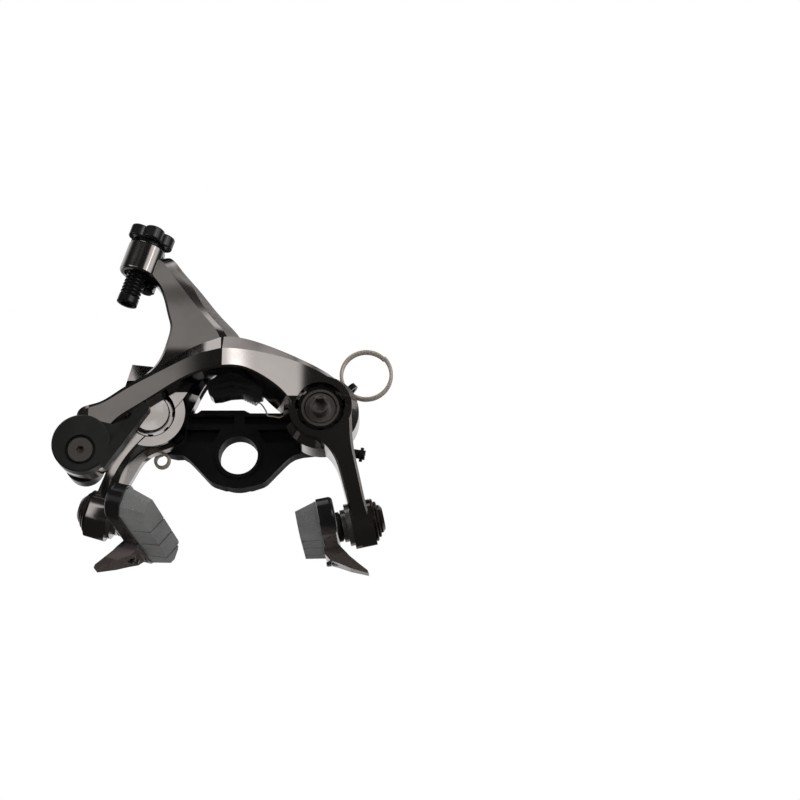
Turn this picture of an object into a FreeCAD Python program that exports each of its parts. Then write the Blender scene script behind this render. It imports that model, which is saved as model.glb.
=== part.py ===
import FreeCAD, Part
import Sketcher
import math
import os
import re

# Bicycle rim brake caliper of the two-bolt kind, seen from the front with +X to the right, +Y towards the
# frame and +Z up. The origin is midway between the two mounting bolts, on the plane where the fixing plate
# meets the frame. Heights called "front", "back" or "rise" are measured forwards from that plane.

V = FreeCAD.Vector
X_AXIS = V(1, 0, 0)
Y_AXIS = V(0, 1, 0)
Z_AXIS = V(0, 0, 1)
FACING_FRONT = FreeCAD.Rotation(X_AXIS, 90)

SIZES = (
    ("bolt_spacing", 56.0, "distance between the two mounting bolts"),
    ("flat_gap", 0.05, "gap between flat faces that turn on each other"),
    ("turning_gap", 0.05, "radial gap of a shaft in its bore"),
    ("free_gap", 0.35, "gap between curved pieces that pass each other"),
    ("plate_thick", 7.0, "fixing plate, back to front"),
    ("plate_top", 3.4, "fixing plate's top edge above the bolts"),
    ("plate_hump", 1.0, "raised middle of the top edge"),
    ("plate_bottom", 11.2, "fixing plate's lower edge below the bolts"),
    ("plate_eye_radius", 9.0, "rounded ends round the bolts"),
    ("lobe_drop", 11.3, "centre of the round lobe below the bolts"),
    ("lobe_radius", 11.2, "round lobe at the middle of the plate"),
    ("flank_in", 7.0, "where the lobe's flank meets the lower edge, in from the bolt"),
    ("centre_hole_radius", 6.5, "hole through the middle of the plate"),
    ("hole_rim", 1.3, "raised rim round the centre hole"),
    ("rim_rise", 0.9, "height of that rim"),
    ("recess_depth", 3.2, "depth of the plate's moulded recesses"),
    ("rib_thick", 1.8, "ribs between the recesses"),
    ("recess_inner", 8.6, "inner end of the lower recesses"),
    ("recess_outer", 17.2, "outer end of the recesses"),
    ("rib_level", 2.1, "middle rib below the bolts"),
    ("washer_thick", 2.0, "thrust washer behind each arm"),
    ("washer_radius", 9.0, "thrust washer"),
    ("bolt_radius", 3.0, "mounting bolt's thread"),
    ("stud_length", 12.0, "bolt end that stands out behind the plate"),
    ("thread_radius", 2.95, "outside of the M6 thread on that end"),
    ("thread_start", 0.3, "gap from the plate's back to the thread"),
    ("bolt_flange_radius", 5.2, "flange under the bolt's head"),
    ("bolt_flange_thick", 1.5, "flange thickness"),
    ("bolt_nose_radius", 3.2, "bolt's head"),
    ("right_nose", 4.0, "height of the right bolt's head"),
    ("left_nose", 0.7, "height of the left bolt's head"),
    ("bolt_key", 4.0, "hexagon across flats"),
    ("right_key_depth", 3.4, "socket depth in the right bolt"),
    ("left_key_depth", 2.0, "socket depth in the left bolt"),
    ("sleeve_radius", 6.2, "steel sleeve that the arm turns on"),
    ("bush_wall", 1.2, "bearing bush between arm and sleeve"),
    ("pocket_radius", 8.1, "round pocket in the arm's face"),
    ("pocket_depth", 4.6, "depth of that pocket"),
    ("ring_nut_radius", 7.6, "notched ring nut"),
    ("ring_nut_thick", 2.4, "ring nut"),
    ("ring_nut_notch", 1.8, "width of its notches"),
    ("cap_sunk", 0.1, "left pivot's cap below the arm's face"),
    ("sleeve_sunk", 2.0, "sleeve's end below the arm's face"),
    ("arch_front", 28.0, "front face of the arch arm"),
    ("crown_rise", 1.2, "how far the crown stands forward of that"),
    ("arch_back", 20.5, "back of the arch where it crosses the cable arm"),
    ("cable_arm_front", 19.9, "front face of the cable arm"),
    ("arm_hub_front_radius", 10.3, "front of the arch's pivot hub"),
    ("arm_hub_back_radius", 12.4, "back of the arch's pivot hub"),
    ("cable_hub_radius", 11.3, "cable arm's pivot hub"),
    ("anchor_out", 20.1, "cable anchor's axis left of the left bolt"),
    ("anchor_drop", 13.6, "cable anchor's axis below the bolts"),
    ("anchor_radius", 9.4, "cable anchor's hub"),
    ("anchor_front", 33.0, "front face of the anchor hub"),
    ("journal_radius", 6.4, "journal of the quick-release lever"),
    ("bolt_throw", 2.2, "cable bolt's axis off the journal's"),
    ("cable_bolt_radius", 2.4, "cable bolt's shank"),
    ("cable_head_radius", 3.95, "cable bolt's head"),
    ("cable_head_well", 4.9, "well round that head"),
    ("cable_key", 2.4, "hexagon across flats"),
    ("clamp_radius", 6.0, "cable clamp behind the arm"),
    ("clamp_left", 1.1, "clamp's middle left of its bolt"),
    ("clamp_down", 1.6, "clamp's middle below its bolt"),
    ("clamp_thick", 6.4, "cable clamp"),
    ("lever_length", 21.0, "quick-release lever from the hub's tangent point"),
    ("lever_half_width", 1.7, "lever's grip ridge, half of its width"),
    ("lever_tilt", 55.0, "lever's slope"),
    ("lever_thick", 4.2, "lever, front to back"),
    ("right_shoe_x", 13.6, "right shoe bolt outside its pivot"),
    ("right_shoe_drop", 36.2, "right shoe bolt below its pivot"),
    ("right_shoe_tilt", 11.9, "slope of the right shoe bolt"),
    ("right_shoe_turn", 0.6, "right shoe's swivel at rest"),
    ("right_shoe_toe", 0.0, "right shoe's lean in its hollow washer"),
    ("left_shoe_x", 14.9, "left shoe bolt outside its pivot"),
    ("left_shoe_drop", 33.6, "left shoe bolt below its pivot"),
    ("left_shoe_tilt", 16.2, "slope of the left shoe bolt"),
    ("left_shoe_turn", -7.5, "left shoe's swivel at rest"),
    ("left_shoe_toe", 9.2, "left shoe's lean in its hollow washer"),
    ("shoe_depth", 17.5, "shoe bolts in front of the mounting plane"),
    ("shoe_boss_radius", 6.2, "boss at each arm's foot"),
    ("shoe_boss_half", 3.5, "half of the boss's length"),
    ("slot_below", 2.0, "shoe bolt's way down in its slot"),
    ("slot_above", 0.9, "shoe bolt's way up in its slot"),
    ("shoe_bolt_radius", 2.5, "shoe bolt's thread"),
    ("shoe_head_radius", 4.6, "shoe bolt's head"),
    ("shoe_head_high", 1.6, "shoe bolt's head"),
    ("shoe_key", 4.0, "hexagon across flats"),
    ("outer_washer_radius", 7.0, "large washer under the head"),
    ("step_washer_radius", 5.9, "small washer under the head"),
    ("shoe_washer_thick", 1.0, "each of those washers"),
    ("silver_washer_thick", 1.5, "washer inside the arm"),
    ("silver_washer_radius", 6.9, "washer inside the arm"),
    ("cup_thick", 1.5, "hollow washer"),
    ("cup_radius", 5.3, "hollow washer"),
    ("seat_centre", 13.3, "centre of the round seat, from the arm's middle along the shoe bolt"),
    ("seat_radius", 8.27, "the hollow washer's round seat"),
    ("ball_thick", 1.7, "domed washer"),
    ("ball_radius", 4.9, "domed washer"),
    ("ball_bore", 3.95, "domed washer's hole, wide enough for its lean"),
    ("shoe_nut_radius", 3.7, "corners of the nut inside the holder"),
    ("shoe_nut_thick", 1.2, "that nut"),
    ("shoe_nut_lift", 1.7, "nut above the holder's back"),
    ("holder_thick", 5.2, "brake shoe holder, side to side"),
    ("holder_length", 49.4, "brake shoe holder"),
    ("holder_half_high", 5.9, "half of the holder's height"),
    ("holder_wall", 1.2, "holder's rails beside the pad"),
    ("pad_seat", 2.2, "depth of the pad in its holder"),
    ("pad_length", 46.6, "rubber pad at its foot"),
    ("pad_thick", 7.0, "rubber that stands out of the holder"),
    ("pad_face_half", 4.0, "half of the braking face's height"),
    ("pad_near_slope", 4.1, "how far the near end slopes back"),
    ("pad_far_slope", 1.5, "how far the far end slopes back"),
    ("groove_width", 0.7, "grooves across the pad"),
    ("groove_depth", 0.9, "their depth"),
    ("groove_slant", 7.0, "how far a groove runs along while it crosses the face"),
    ("groove_first", -8.0, "first groove from the pad's middle"),
    ("groove_step", 11.2, "from one groove to the next"),
    ("adjuster_out", 5.0, "adjuster's axis left of the left bolt"),
    ("adjuster_high", 52.6, "middle of the adjuster's boss above the bolts"),
    ("adjuster_front", 19.0, "middle of the adjuster's boss"),
    ("adjuster_lean", 16.3, "adjuster's lean to the right"),
    ("adjuster_nod", 5.5, "adjuster's lean to the back"),
    ("adjuster_boss_radius", 6.4, "boss"),
    ("adjuster_boss_up", 5.6, "boss above its middle"),
    ("adjuster_boss_down", 5.0, "boss below its middle"),
    ("barrel_radius", 3.5, "adjuster's threaded barrel"),
    ("barrel_bore", 2.0, "cable's way through the barrel"),
    ("socket_radius", 2.55, "housing's socket in the knob"),
    ("socket_depth", 9.0, "housing's socket"),
    ("barrel_below", 15.8, "barrel's end below the boss's middle"),
    ("insert_wall", 1.1, "threaded insert in the boss"),
    ("knob_radius", 5.6, "knob between its lobes"),
    ("lobe_offset", 4.5, "centres of the knob's lobes"),
    ("lobe_round", 3.4, "radius of the knob's lobes"),
    ("knob_thick", 4.2, "knob"),
    ("click_washer_thick", 1.4, "spring washer under the knob"),
    ("pin_radius", 1.4, "stopper pin"),
    ("pin_angle", 44.0, "direction of the stopper pin"),
    ("pin_front", 15.0, "stopper pin in front of the mounting plane"),
    ("pin_depth", 8.0, "stopper pin's tip from the pivot's axis"),
    ("eye_reach", 12.7, "middle of the pin's eye from the pivot's axis"),
    ("eye_radius", 1.9, "hole of that eye"),
    ("eye_rim", 1.0, "metal round that hole"),
    ("eye_thick", 1.8, "thickness of the eye"),
    ("ring_room_half", 5.0, "half of the hollow in the hub that the ring swings in"),
    ("ring_inset", 0.6, "ring's wire off the eye's middle"),
    ("pull_ring_radius", 8.3, "middle of the ring's wire"),
    ("pull_wire", 0.6, "radius of the ring's wire"),
    ("pull_pitch", 1.65, "step from one coil of the ring to the next"),
    ("screw_radius", 1.5, "centering screw"),
    ("screw_flange", 2.4, "flange of the centering screw"),
    ("spring_wire", 0.5, "radius of the return spring's wire"),
    ("spring_eye", 2.3, "middle radius of the spring's eye"),
    ("spring_pitch", 1.45, "step between the turns of that eye"),
    ("eye_right", 2.4, "the eye's middle right of the left bolt"),
    ("eye_drop", 12.6, "the eye's middle below the bolts"),
    ("seat_half", 2.2, "half of the width of the block above the eye"),
    ("cover_right", 19.0, "spring cover's right end from the right bolt"),
    ("cover_reach", 19.4, "spring cover's length"),
    ("cover_taken", 36.6, "what is left of the bolt spacing beside the spring cover"),
    ("helper_wire", 0.25, "radius of the small spring's wire"),
    ("helper_radius", 1.1, "small coil spring"),
    ("helper_pitch", 0.95, "step between its turns"),
)

PAD_GROOVES = 3
RING_NUT_NOTCHES = 8
KNOB_LOBES = 5
HELPER_TURNS = 5
# The flank's curve from the plate's lower edge to the lobe: share of the way across, share of the way down
FLANK_CURVE = [(0.0, 0.0), (0.17, 0.066), (0.29, 0.16), (0.4, 0.29), (0.51, 0.44), (0.63, 0.6), (0.745, 0.764),
               (0.85, 0.9), (0.93, 0.965), (1.0, 1.0)]
PULL_RING_TURNS = 2
EYE_TURNS = 2

doc = FreeCAD.newDocument("rim_brake_caliper")
sheet = doc.addObject("Spreadsheet::Sheet", "Sizes")
for row, (alias, value, meaning) in enumerate(SIZES, start=1):
    sheet.set(f"A{row}", meaning)
    sheet.set(f"B{row}", str(value))
    sheet.setAlias(f"B{row}", alias)
doc.recompute()

subparts = []


def size(expression):
    """Value of an expression on the sheet's aliases."""
    return float(sheet.evalExpression(expression))


def bound(expression):
    """The same expression with each alias named through the sheet, for use by other objects."""
    return re.sub(r"\b([a-z]+_[a-z_]+)\b", r"Sizes.\1", expression)


# Heights that several pieces share
ARM_BACK = "(plate_thick + washer_thick + 2 * flat_gap)"
RIGHT_X = "(bolt_spacing / 2)"
LEFT_X = "(-bolt_spacing / 2)"
ANCHOR_REACH = "(bolt_spacing + anchor_out)"
BUSH_RADIUS = "(sleeve_radius + turning_gap + bush_wall)"
EYE_ROOM = "(spring_eye + spring_wire + 0.15)"
HOLDER_BACK = "(shoe_boss_half + silver_washer_thick + cup_thick + ball_thick)"
HOLDER_FACE = "(shoe_boss_half + silver_washer_thick + cup_thick + ball_thick + holder_thick)"


# Sketches and features

def start_body(label):
    """An empty body that will be one sub-part."""
    body = doc.addObject("PartDesign::Body", label)
    body.Label = label
    subparts.append(body)
    return body


def plane(body, role):
    return next(feature for feature in body.Origin.OriginFeatures if feature.Role == role)


def blank_sketch(body, role, height="0"):
    """A sketch on one of the body's own planes, lifted along its normal."""
    sketch = body.newObject("Sketcher::SketchObject", body.Label + "_sketch")
    sketch.AttachmentSupport = (plane(body, role), [""])
    sketch.MapMode = "FlatFace"
    sketch.setExpression("AttachmentOffset.Base.z", bound(height))
    return sketch


def tie(sketch, kind, index, point, expression):
    """Hold one coordinate of a sketch's point to an expression."""
    number = sketch.addConstraint(Sketcher.Constraint(kind, -1, 1, index, point, size(expression)))
    sketch.setExpression(f"Constraints[{number}]", bound(expression))


def polygon(body, role, corners, height="0"):
    """A closed outline whose corners are pairs of expressions."""
    sketch = blank_sketch(body, role, height)
    points = [V(size(across), size(up), 0) for across, up in corners]
    count = len(points)
    for index in range(count):
        sketch.addGeometry(Part.LineSegment(points[index], points[(index + 1) % count]))
    for index in range(count):
        sketch.addConstraint(Sketcher.Constraint("Coincident", index, 2, (index + 1) % count, 1))
    for index, (across, up) in enumerate(corners):
        tie(sketch, "DistanceX", index, 1, across)
        tie(sketch, "DistanceY", index, 1, up)
    return sketch


def circles(body, role, rounds, height="0"):
    """One sketch of circles, each given as centre across, centre up and radius."""
    sketch = blank_sketch(body, role, height)
    for index, (across, up, radius) in enumerate(rounds):
        sketch.addGeometry(Part.Circle(V(size(across), size(up), 0), Z_AXIS, size(radius)))
        tie(sketch, "DistanceX", index, 3, across)
        tie(sketch, "DistanceY", index, 3, up)
        number = sketch.addConstraint(Sketcher.Constraint("Radius", index, size(radius)))
        sketch.setExpression(f"Constraints[{number}]", bound(radius))
    return sketch


def hexagon(body, across_flats, height):
    corners = []
    for corner in range(6):
        turn = 60 * corner
        corners.append((f"{across_flats} / sqrt(3) * cos({turn})", f"{across_flats} / sqrt(3) * sin({turn})"))
    return polygon(body, "XY_Plane", corners, height)


def pad(body, sketch, length, backwards=False):
    feature = body.newObject("PartDesign::Pad", body.Label + "_pad")
    feature.Profile = (sketch, [""])
    feature.Reversed = backwards
    feature.setExpression("Length", bound(length))
    doc.recompute()
    return feature


def pocket(body, sketch, length, backwards=False):
    """Cut a sketch into the body, against the sketch's normal unless backwards."""
    before = body.Shape.Volume
    feature = body.newObject("PartDesign::Pocket", body.Label + "_pocket")
    feature.Profile = (sketch, [""])
    feature.Reversed = backwards
    feature.setExpression("Length", bound(length))
    doc.recompute()
    if body.Shape.Volume >= before:
        raise RuntimeError(f"a pocket of {body.Label} cuts nothing")
    return feature


def polar(body, feature, sketch, count):
    pattern = body.newObject("PartDesign::PolarPattern", body.Label + "_pattern")
    pattern.Originals = [feature]
    pattern.Axis = (sketch, ["N_Axis"])
    pattern.Angle = 360
    pattern.Occurrences = count
    body.Tip = pattern
    doc.recompute()
    return pattern


def turned(label, profile):
    """A piece turned about its own Z axis, from pairs of radius and height."""
    body = start_body(label)
    sketch = polygon(body, "XZ_Plane", profile)
    feature = body.newObject("PartDesign::Revolution", label + "_turning")
    feature.Profile = (sketch, [""])
    feature.ReferenceAxis = (sketch, ["V_Axis"])
    feature.Angle = 360
    doc.recompute()
    return body


def put(piece, across="0", front="0", up="0", rotation=FACING_FRONT):
    """Place a sub-part: its origin tied to expressions, its turn given."""
    piece.Placement.Rotation = rotation
    piece.setExpression(".Placement.Base.x", bound(across))
    piece.setExpression(".Placement.Base.y", bound(f"-({front})"))
    piece.setExpression(".Placement.Base.z", bound(up))
    doc.recompute()
    return piece


def solid(label, shape):
    """A sub-part whose shape is made directly."""
    piece = doc.addObject("Part::Feature", label)
    piece.Label = label
    piece.Shape = shape
    subparts.append(piece)
    return piece


# Shapes made of sections and wires

def at(x, front, z):
    """A point given by its place across, its height in front of the mounting plane and its level."""
    return V(x, -front, z)


def closed(points):
    return Part.makePolygon(points + [points[0]])


def prism(outline, back, front):
    """A slab between two heights, from an outline of (x, z) pairs."""
    face = Part.Face(closed([at(x, back, z) for x, z in outline]))
    return face.extrude(V(0, back - front, 0))


def drum(centre_x, centre_z, radius, back, front):
    """A round slab between two heights, facing the front."""
    return Part.makeCylinder(radius, front - back, at(centre_x, back, centre_z), V(0, -1, 0))


def limb_section(pivot, inner, outer, front, back, bevel=0.8, flare=0.0, lip=0.6):
    """A section of an arm: its front face runs from inner to outer, with a bevel beyond the outer edge."""
    inner = V(pivot + inner[0], 0, inner[1])
    outer = V(pivot + outer[0], 0, outer[1])
    along = (outer - inner).normalize()
    beyond = outer + along * bevel
    low = inner - along * flare
    edge = inner + along * lip

    def lifted(point, height):
        return V(point.x, -height, point.z)

    return closed([
        lifted(edge, front),
        lifted(outer, front),
        lifted(beyond, front - 0.8 * bevel),
        lifted(beyond, back),
        lifted(low, back),
        lifted(inner, front - lip),
    ])


def in_line(pivot, corners):
    """Points of one section, drawn onto the line from the first to the last so that the section is flat."""
    points = [V(pivot + x, 0, z) for x, z in corners]
    start = points[0]
    along = (points[-1] - start).normalize()
    return [start + along * (point - start).dot(along) for point in points]


def bent_section(pivot, left, ridge, crease, right, front, back, crease_drop=2.4, right_drop=6.0):
    """A section of the cable arm: its face runs from left to ridge, then two facets fall to the right."""
    left, ridge, crease, right = in_line(pivot, (left, ridge, crease, right))
    lip = (ridge - left).normalize() * 0.8

    def lifted(point, height):
        return V(point.x, -height, point.z)

    return closed([
        lifted(left + lip, front),
        lifted(ridge, front),
        lifted(crease, front - crease_drop),
        lifted(right, front - right_drop),
        lifted(right, back),
        lifted(left, back),
        lifted(left, front - 0.8),
    ])


def limb(sections):
    return Part.makeLoft(sections, True, False)


def arc_from(start, direction, end):
    """The arc that leaves start along a direction and ends at end."""
    chord = end - start
    toward = V(chord).normalize()
    side = direction - toward * direction.dot(toward)
    if side.Length < 1e-6:
        return Part.LineSegment(start, end).toShape()
    half_turn = direction.getAngle(chord)
    middle = (start + end) * 0.5 + side.normalize() * (chord.Length / 2 * math.tan(half_turn / 2))
    return Part.Arc(start, middle, end).toShape()


def biarc(start, start_way, end, end_way):
    """Two arcs that join two points and keep both directions."""
    span = end - start
    ways = start_way + end_way
    bend = 2 * (1 - start_way.dot(end_way))
    mixed = span.dot(ways)
    if bend < 1e-9:
        return [Part.LineSegment(start, end).toShape()]
    reach = (-mixed + math.sqrt(mixed * mixed + bend * span.dot(span))) / bend
    joint = (start + end + (start_way - end_way) * reach) * 0.5
    second = arc_from(end, -end_way, joint)
    return [arc_from(start, start_way, joint), second]


def tube(stations, radius):
    """A wire of one radius along stations of (point, direction)."""
    edges = []
    for (start, start_way), (end, end_way) in zip(stations, stations[1:]):
        edges += biarc(start, start_way, end, end_way)
    path = Part.Wire(Part.__sortEdges__(edges))
    first, way = stations[0]
    ring = Part.Wire(Part.Circle(first, way, radius).toShape())
    shell = Part.BRepOffsetAPI.MakePipeShell(path)
    shell.add(ring)
    shell.build()
    shell.makeSolid()
    return shell.shape()


def coil_stations(centre, axis, across, radius, pitch, turns, first_turn=0.0):
    """Quarter-turn stations of a helix round an axis; across is where an angle of nought points."""
    up = axis.cross(across)
    stations = []
    for quarter in range(int(round(turns * 4)) + 1):
        angle = math.pi / 2 * quarter + first_turn
        travelled = pitch * quarter / 4
        point = centre + axis * travelled + across * (radius * math.cos(angle)) + up * (radius * math.sin(angle))
        way = up * math.cos(angle) - across * math.sin(angle) + axis * (pitch / (2 * math.pi * radius))
        stations.append((point, way.normalize()))
    return stations


def print_self_gap(name, radius, wire, pitch):
    """Least gap between neighbouring turns of a coil, measured on points of two turns."""
    points = []
    for step in range(240):
        angle = 2 * math.pi * step / 120
        points.append(V(radius * math.cos(angle), radius * math.sin(angle), pitch * step / 120))
    least = min(points[0].distanceToPoint(other) for other in points[60:]) - 2 * wire
    print(f"{name}: least gap to itself {least:.2f} mm")


# The fixing plate and what stays with it

def make_fixing_plate():
    body = start_body("fixing_plate")
    half = "(bolt_spacing / 2)"
    hump = "(plate_top + plate_hump)"
    flank_low = "(lobe_drop + lobe_radius * 0.866)"
    flank_high = "(plate_bottom - 0.8)"
    flank_reach = "(bolt_spacing / 2 - flank_in)"
    lobe_foot = "(lobe_radius * 0.66)"
    right_flank = [(f"({flank_reach} + ({lobe_foot} - {flank_reach}) * {along})",
                    f"(-{flank_high} - ({flank_low} - {flank_high}) * {down})") for along, down in FLANK_CURVE]
    left_flank = [(f"-{x}", z) for x, z in reversed(right_flank[1:])] + [(f"-{flank_reach}", "-plate_bottom")]
    outline = [
        (f"-{half}", "plate_top"), ("-14.2", "plate_top"), ("-12.9", hump), ("1.6", hump),
        ("3.6", "plate_top"), (half, "plate_top"), (half, "-plate_bottom + 1.6"),
        *right_flank, ("lobe_radius * 0.4", "-lobe_drop - lobe_radius * 0.95"),
        ("-lobe_radius * 0.4", "-lobe_drop - lobe_radius * 0.95"), *left_flank,
        (f"-{half}", "-plate_bottom + 1.6"),
    ]
    pad(body, polygon(body, "XY_Plane", outline), "plate_thick")
    pad(body, circles(body, "XY_Plane", [("0", "-lobe_drop", "lobe_radius")]), "plate_thick")
    for side in (LEFT_X, RIGHT_X):
        pad(body, circles(body, "XY_Plane", [(side, "0", "plate_eye_radius")]), "plate_thick")
    rim = "(centre_hole_radius + hole_rim)"
    upper_low = "(-rib_level + rib_thick)"
    lower_high = "(-rib_level - 0.2)"
    lower_low = "(-rib_level - 4.6)"
    corner_sets = []
    for side in ("-1", "1"):
        corner_sets.append([
            (f"{side} * rib_thick", upper_low), (f"{side} * recess_outer", upper_low),
            (f"{side} * recess_outer", "plate_top - 1.1"), (f"{side} * rib_thick", "plate_top - 1.1"),
        ])
        corner_sets.append([
            (f"{side} * recess_inner * 0.72", lower_high), (f"{side} * recess_outer", lower_high),
            (f"{side} * recess_outer", lower_low), (f"{side} * recess_inner", lower_low),
        ])
    for corners in corner_sets:
        pocket(body, polygon(body, "XY_Plane", corners, "plate_thick"), "recess_depth")
    pad(body, circles(body, "XY_Plane", [("0", "-lobe_drop", rim)], "plate_thick - recess_depth"),
        "recess_depth + rim_rise")
    pocket(body, circles(body, "XY_Plane", [("0", "-lobe_drop", "centre_hole_radius")], "plate_thick + 5"),
           "plate_thick + 9")
    bolt_hole = "(bolt_radius + 0.25)"
    pocket(body, circles(body, "XY_Plane", [(LEFT_X, "0", bolt_hole), (RIGHT_X, "0", bolt_hole)],
                         "plate_thick + 1"), "plate_thick + 2")
    pocket(body, circles(body, "XY_Plane", [(f"{LEFT_X} + eye_right", "-eye_drop", EYE_ROOM)], "plate_thick + 1"),
           "plate_thick + 2")
    return put(body)


def make_pivot(side, centre, face, nose, key_depth):
    """Sleeve, ring nut and mounting bolt of one pivot, whose arm's face is at the given height."""
    sleeve_top = f"({face} - sleeve_sunk)"
    seat = f"({face} - sleeve_sunk - bolt_flange_thick - 0.3)"
    bore = "(bolt_radius + turning_gap)"
    well = "(bolt_flange_radius + 0.15)"
    sleeve = turned(f"{side}_pivot_sleeve", [
        (bore, "plate_thick"), ("sleeve_radius", "plate_thick"), ("sleeve_radius", sleeve_top),
        (well, sleeve_top), (well, seat), (bore, seat),
    ])
    put(sleeve, centre)
    floor = f"({face} - pocket_depth + 2 * flat_gap)"
    nut = turned(f"{side}_ring_nut", [
        ("sleeve_radius", floor), ("ring_nut_radius", floor), ("ring_nut_radius", f"{floor} + ring_nut_thick - 0.3"),
        ("ring_nut_radius - 0.3", f"{floor} + ring_nut_thick"), ("sleeve_radius", f"{floor} + ring_nut_thick"),
    ])
    half = "ring_nut_notch / 2"
    notch = polygon(nut, "XY_Plane", [
        ("ring_nut_radius - 0.8", f"-{half}"), ("ring_nut_radius + 1", f"-{half}"),
        ("ring_nut_radius + 1", half), ("ring_nut_radius - 0.8", half),
    ], f"{floor} + ring_nut_thick + 0.5")
    polar(nut, pocket(nut, notch, "ring_nut_thick + 1"), notch, RING_NUT_NOTCHES)
    put(nut, centre)
    head = f"({seat} + bolt_flange_thick + {nose})"
    bolt = turned(f"{side}_mounting_bolt", [
        ("0", "-stud_length"), ("thread_radius - 0.5", "-stud_length"), ("thread_radius", "-stud_length + 0.5"),
        ("thread_radius", "-thread_start"), ("bolt_radius", "-thread_start"), ("bolt_radius", seat), ("bolt_flange_radius", seat), ("bolt_flange_radius", f"{seat} + bolt_flange_thick - 0.3"),
        ("bolt_flange_radius - 0.3", f"{seat} + bolt_flange_thick"),
        ("bolt_nose_radius", f"{seat} + bolt_flange_thick"), ("bolt_nose_radius", f"{head} - 0.5"),
        ("bolt_nose_radius - 0.5", head), ("0", head),
    ])
    pocket(bolt, hexagon(bolt, "bolt_key", head), key_depth)
    put(bolt, centre)


def make_pivot_cap():
    """The bright cap that closes the left pivot's sleeve over the bolt."""
    low = "(cable_arm_front - sleeve_sunk + flat_gap)"
    top = "(cable_arm_front - cap_sunk)"
    inside = "(cable_arm_front - sleeve_sunk - 0.3 + left_nose + free_gap)"
    cap = turned("left_pivot_cap", [
        ("0", inside), ("bolt_nose_radius + free_gap", inside), ("bolt_nose_radius + free_gap", low),
        ("sleeve_radius", low), ("sleeve_radius", f"{top} - 0.3"), ("sleeve_radius - 0.3", top), ("0", top),
    ])
    return put(cap, LEFT_X)


def make_bush(side, centre, face):
    bush = turned(f"{side}_arm_bush", [
        ("sleeve_radius + turning_gap", ARM_BACK), (BUSH_RADIUS, ARM_BACK),
        (BUSH_RADIUS, f"{face} - pocket_depth"), ("sleeve_radius + turning_gap", f"{face} - pocket_depth"),
    ])
    return put(bush, centre)


def make_thrust_washers():
    rings = []
    for centre in (size(LEFT_X), size(RIGHT_X)):
        back = size("plate_thick")
        front = back + size("washer_thick")
        outer = drum(centre, 0, size("washer_radius"), back, front)
        rings.append(outer.cut(drum(centre, 0, size("sleeve_radius + turning_gap"), back, front)))
    return solid("thrust_washers", Part.Compound(rings))


def spring_eye_centre():
    """Middle of the return spring's eye, at the height where its first turn starts."""
    return at(size(f"{LEFT_X} + eye_right"), 3.4, -size("eye_drop"))


def make_return_spring():
    """The eye of the return spring, wound of two turns below the plate's left end."""
    wire = size("spring_wire")
    radius = size("spring_eye")
    pitch = size("spring_pitch")
    turns = coil_stations(spring_eye_centre(), V(0, -1, 0), X_AXIS, radius, pitch, EYE_TURNS, first_turn=math.pi / 2)
    print_self_gap("return spring's eye", radius, wire, pitch)
    return solid("return_spring", tube(turns, wire))


def make_spring_seat():
    """The block on the plate's lower edge, with a round notch for the spring's eye."""
    eye = spring_eye_centre()
    half = size("seat_half")
    low = eye.z + size("spring_eye") - 0.5
    outline = [(eye.x - half, low), (eye.x + half, low), (eye.x + half, low + 3.0), (eye.x - half, low + 3.0)]
    front = size("plate_thick") - 0.1
    block = prism(outline, 1.0, front)
    notch = drum(eye.x, eye.z, size(EYE_ROOM), 0, front + 1)
    plate = doc.getObject("fixing_plate").Shape
    return solid("spring_seat", block.cut([plate, notch]))


# The arch arm

def shoe_frame(side):
    """Placement of a shoe's own frame: Z points at the rim along the shoe bolt, X to the back."""
    if side == "right":
        tilt = math.radians(size("right_shoe_tilt"))
        inward = V(-math.cos(tilt), 0, -math.sin(tilt))
        centre = V(size(f"{RIGHT_X} + right_shoe_x"), -size("shoe_depth"), -size("right_shoe_drop"))
    else:
        tilt = math.radians(size("left_shoe_tilt"))
        inward = V(math.cos(tilt), 0, -math.sin(tilt))
        centre = V(size(f"{LEFT_X} - left_shoe_x"), -size("shoe_depth"), -size("left_shoe_drop"))
    third = inward.cross(Y_AXIS)
    matrix = FreeCAD.Matrix(Y_AXIS.x, third.x, inward.x, centre.x,
                            Y_AXIS.y, third.y, inward.y, centre.y,
                            Y_AXIS.z, third.z, inward.z, centre.z,
                            0, 0, 0, 1)
    return FreeCAD.Placement(matrix)


def shoe_boss(side):
    """The boss at an arm's foot, and the room for the shoe bolt and its washers, both in the arm's place."""
    radius = size("shoe_boss_radius")
    half = size("shoe_boss_half")
    below = size("slot_below") * (1 if side == "right" else -1)
    above = -size("slot_above") * (1 if side == "right" else -1)

    def track(width, low, high):
        ends = [Part.makeCylinder(width, high - low, V(0, end, low), Z_AXIS) for end in (below, above)]
        middle = Part.makeBox(2 * width, abs(below - above), high - low, V(-width, min(below, above), low))
        return ends[0].fuse([ends[1], middle]).removeSplitter()

    boss = track(radius, -half, half)
    opening = track(size("shoe_bolt_radius + 0.1"), -half - 6, half + 6)
    opening = opening.fuse(track(size("outer_washer_radius + free_gap"), -half - 9, -half))
    opening = opening.fuse(track(size("silver_washer_radius + free_gap"), half, half + 12))
    frame = shoe_frame(side)
    boss.Placement = frame
    opening.Placement = frame
    return boss, opening


def pivot_cuts(centre, face):
    """The bore for the bush and the pocket for the ring nut."""
    bore = drum(centre, 0, size(BUSH_RADIUS), size(ARM_BACK) - 5, face + 5)
    well = drum(centre, 0, size("pocket_radius"), face - size("pocket_depth"), face + 5)
    return bore.fuse(well)


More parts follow.
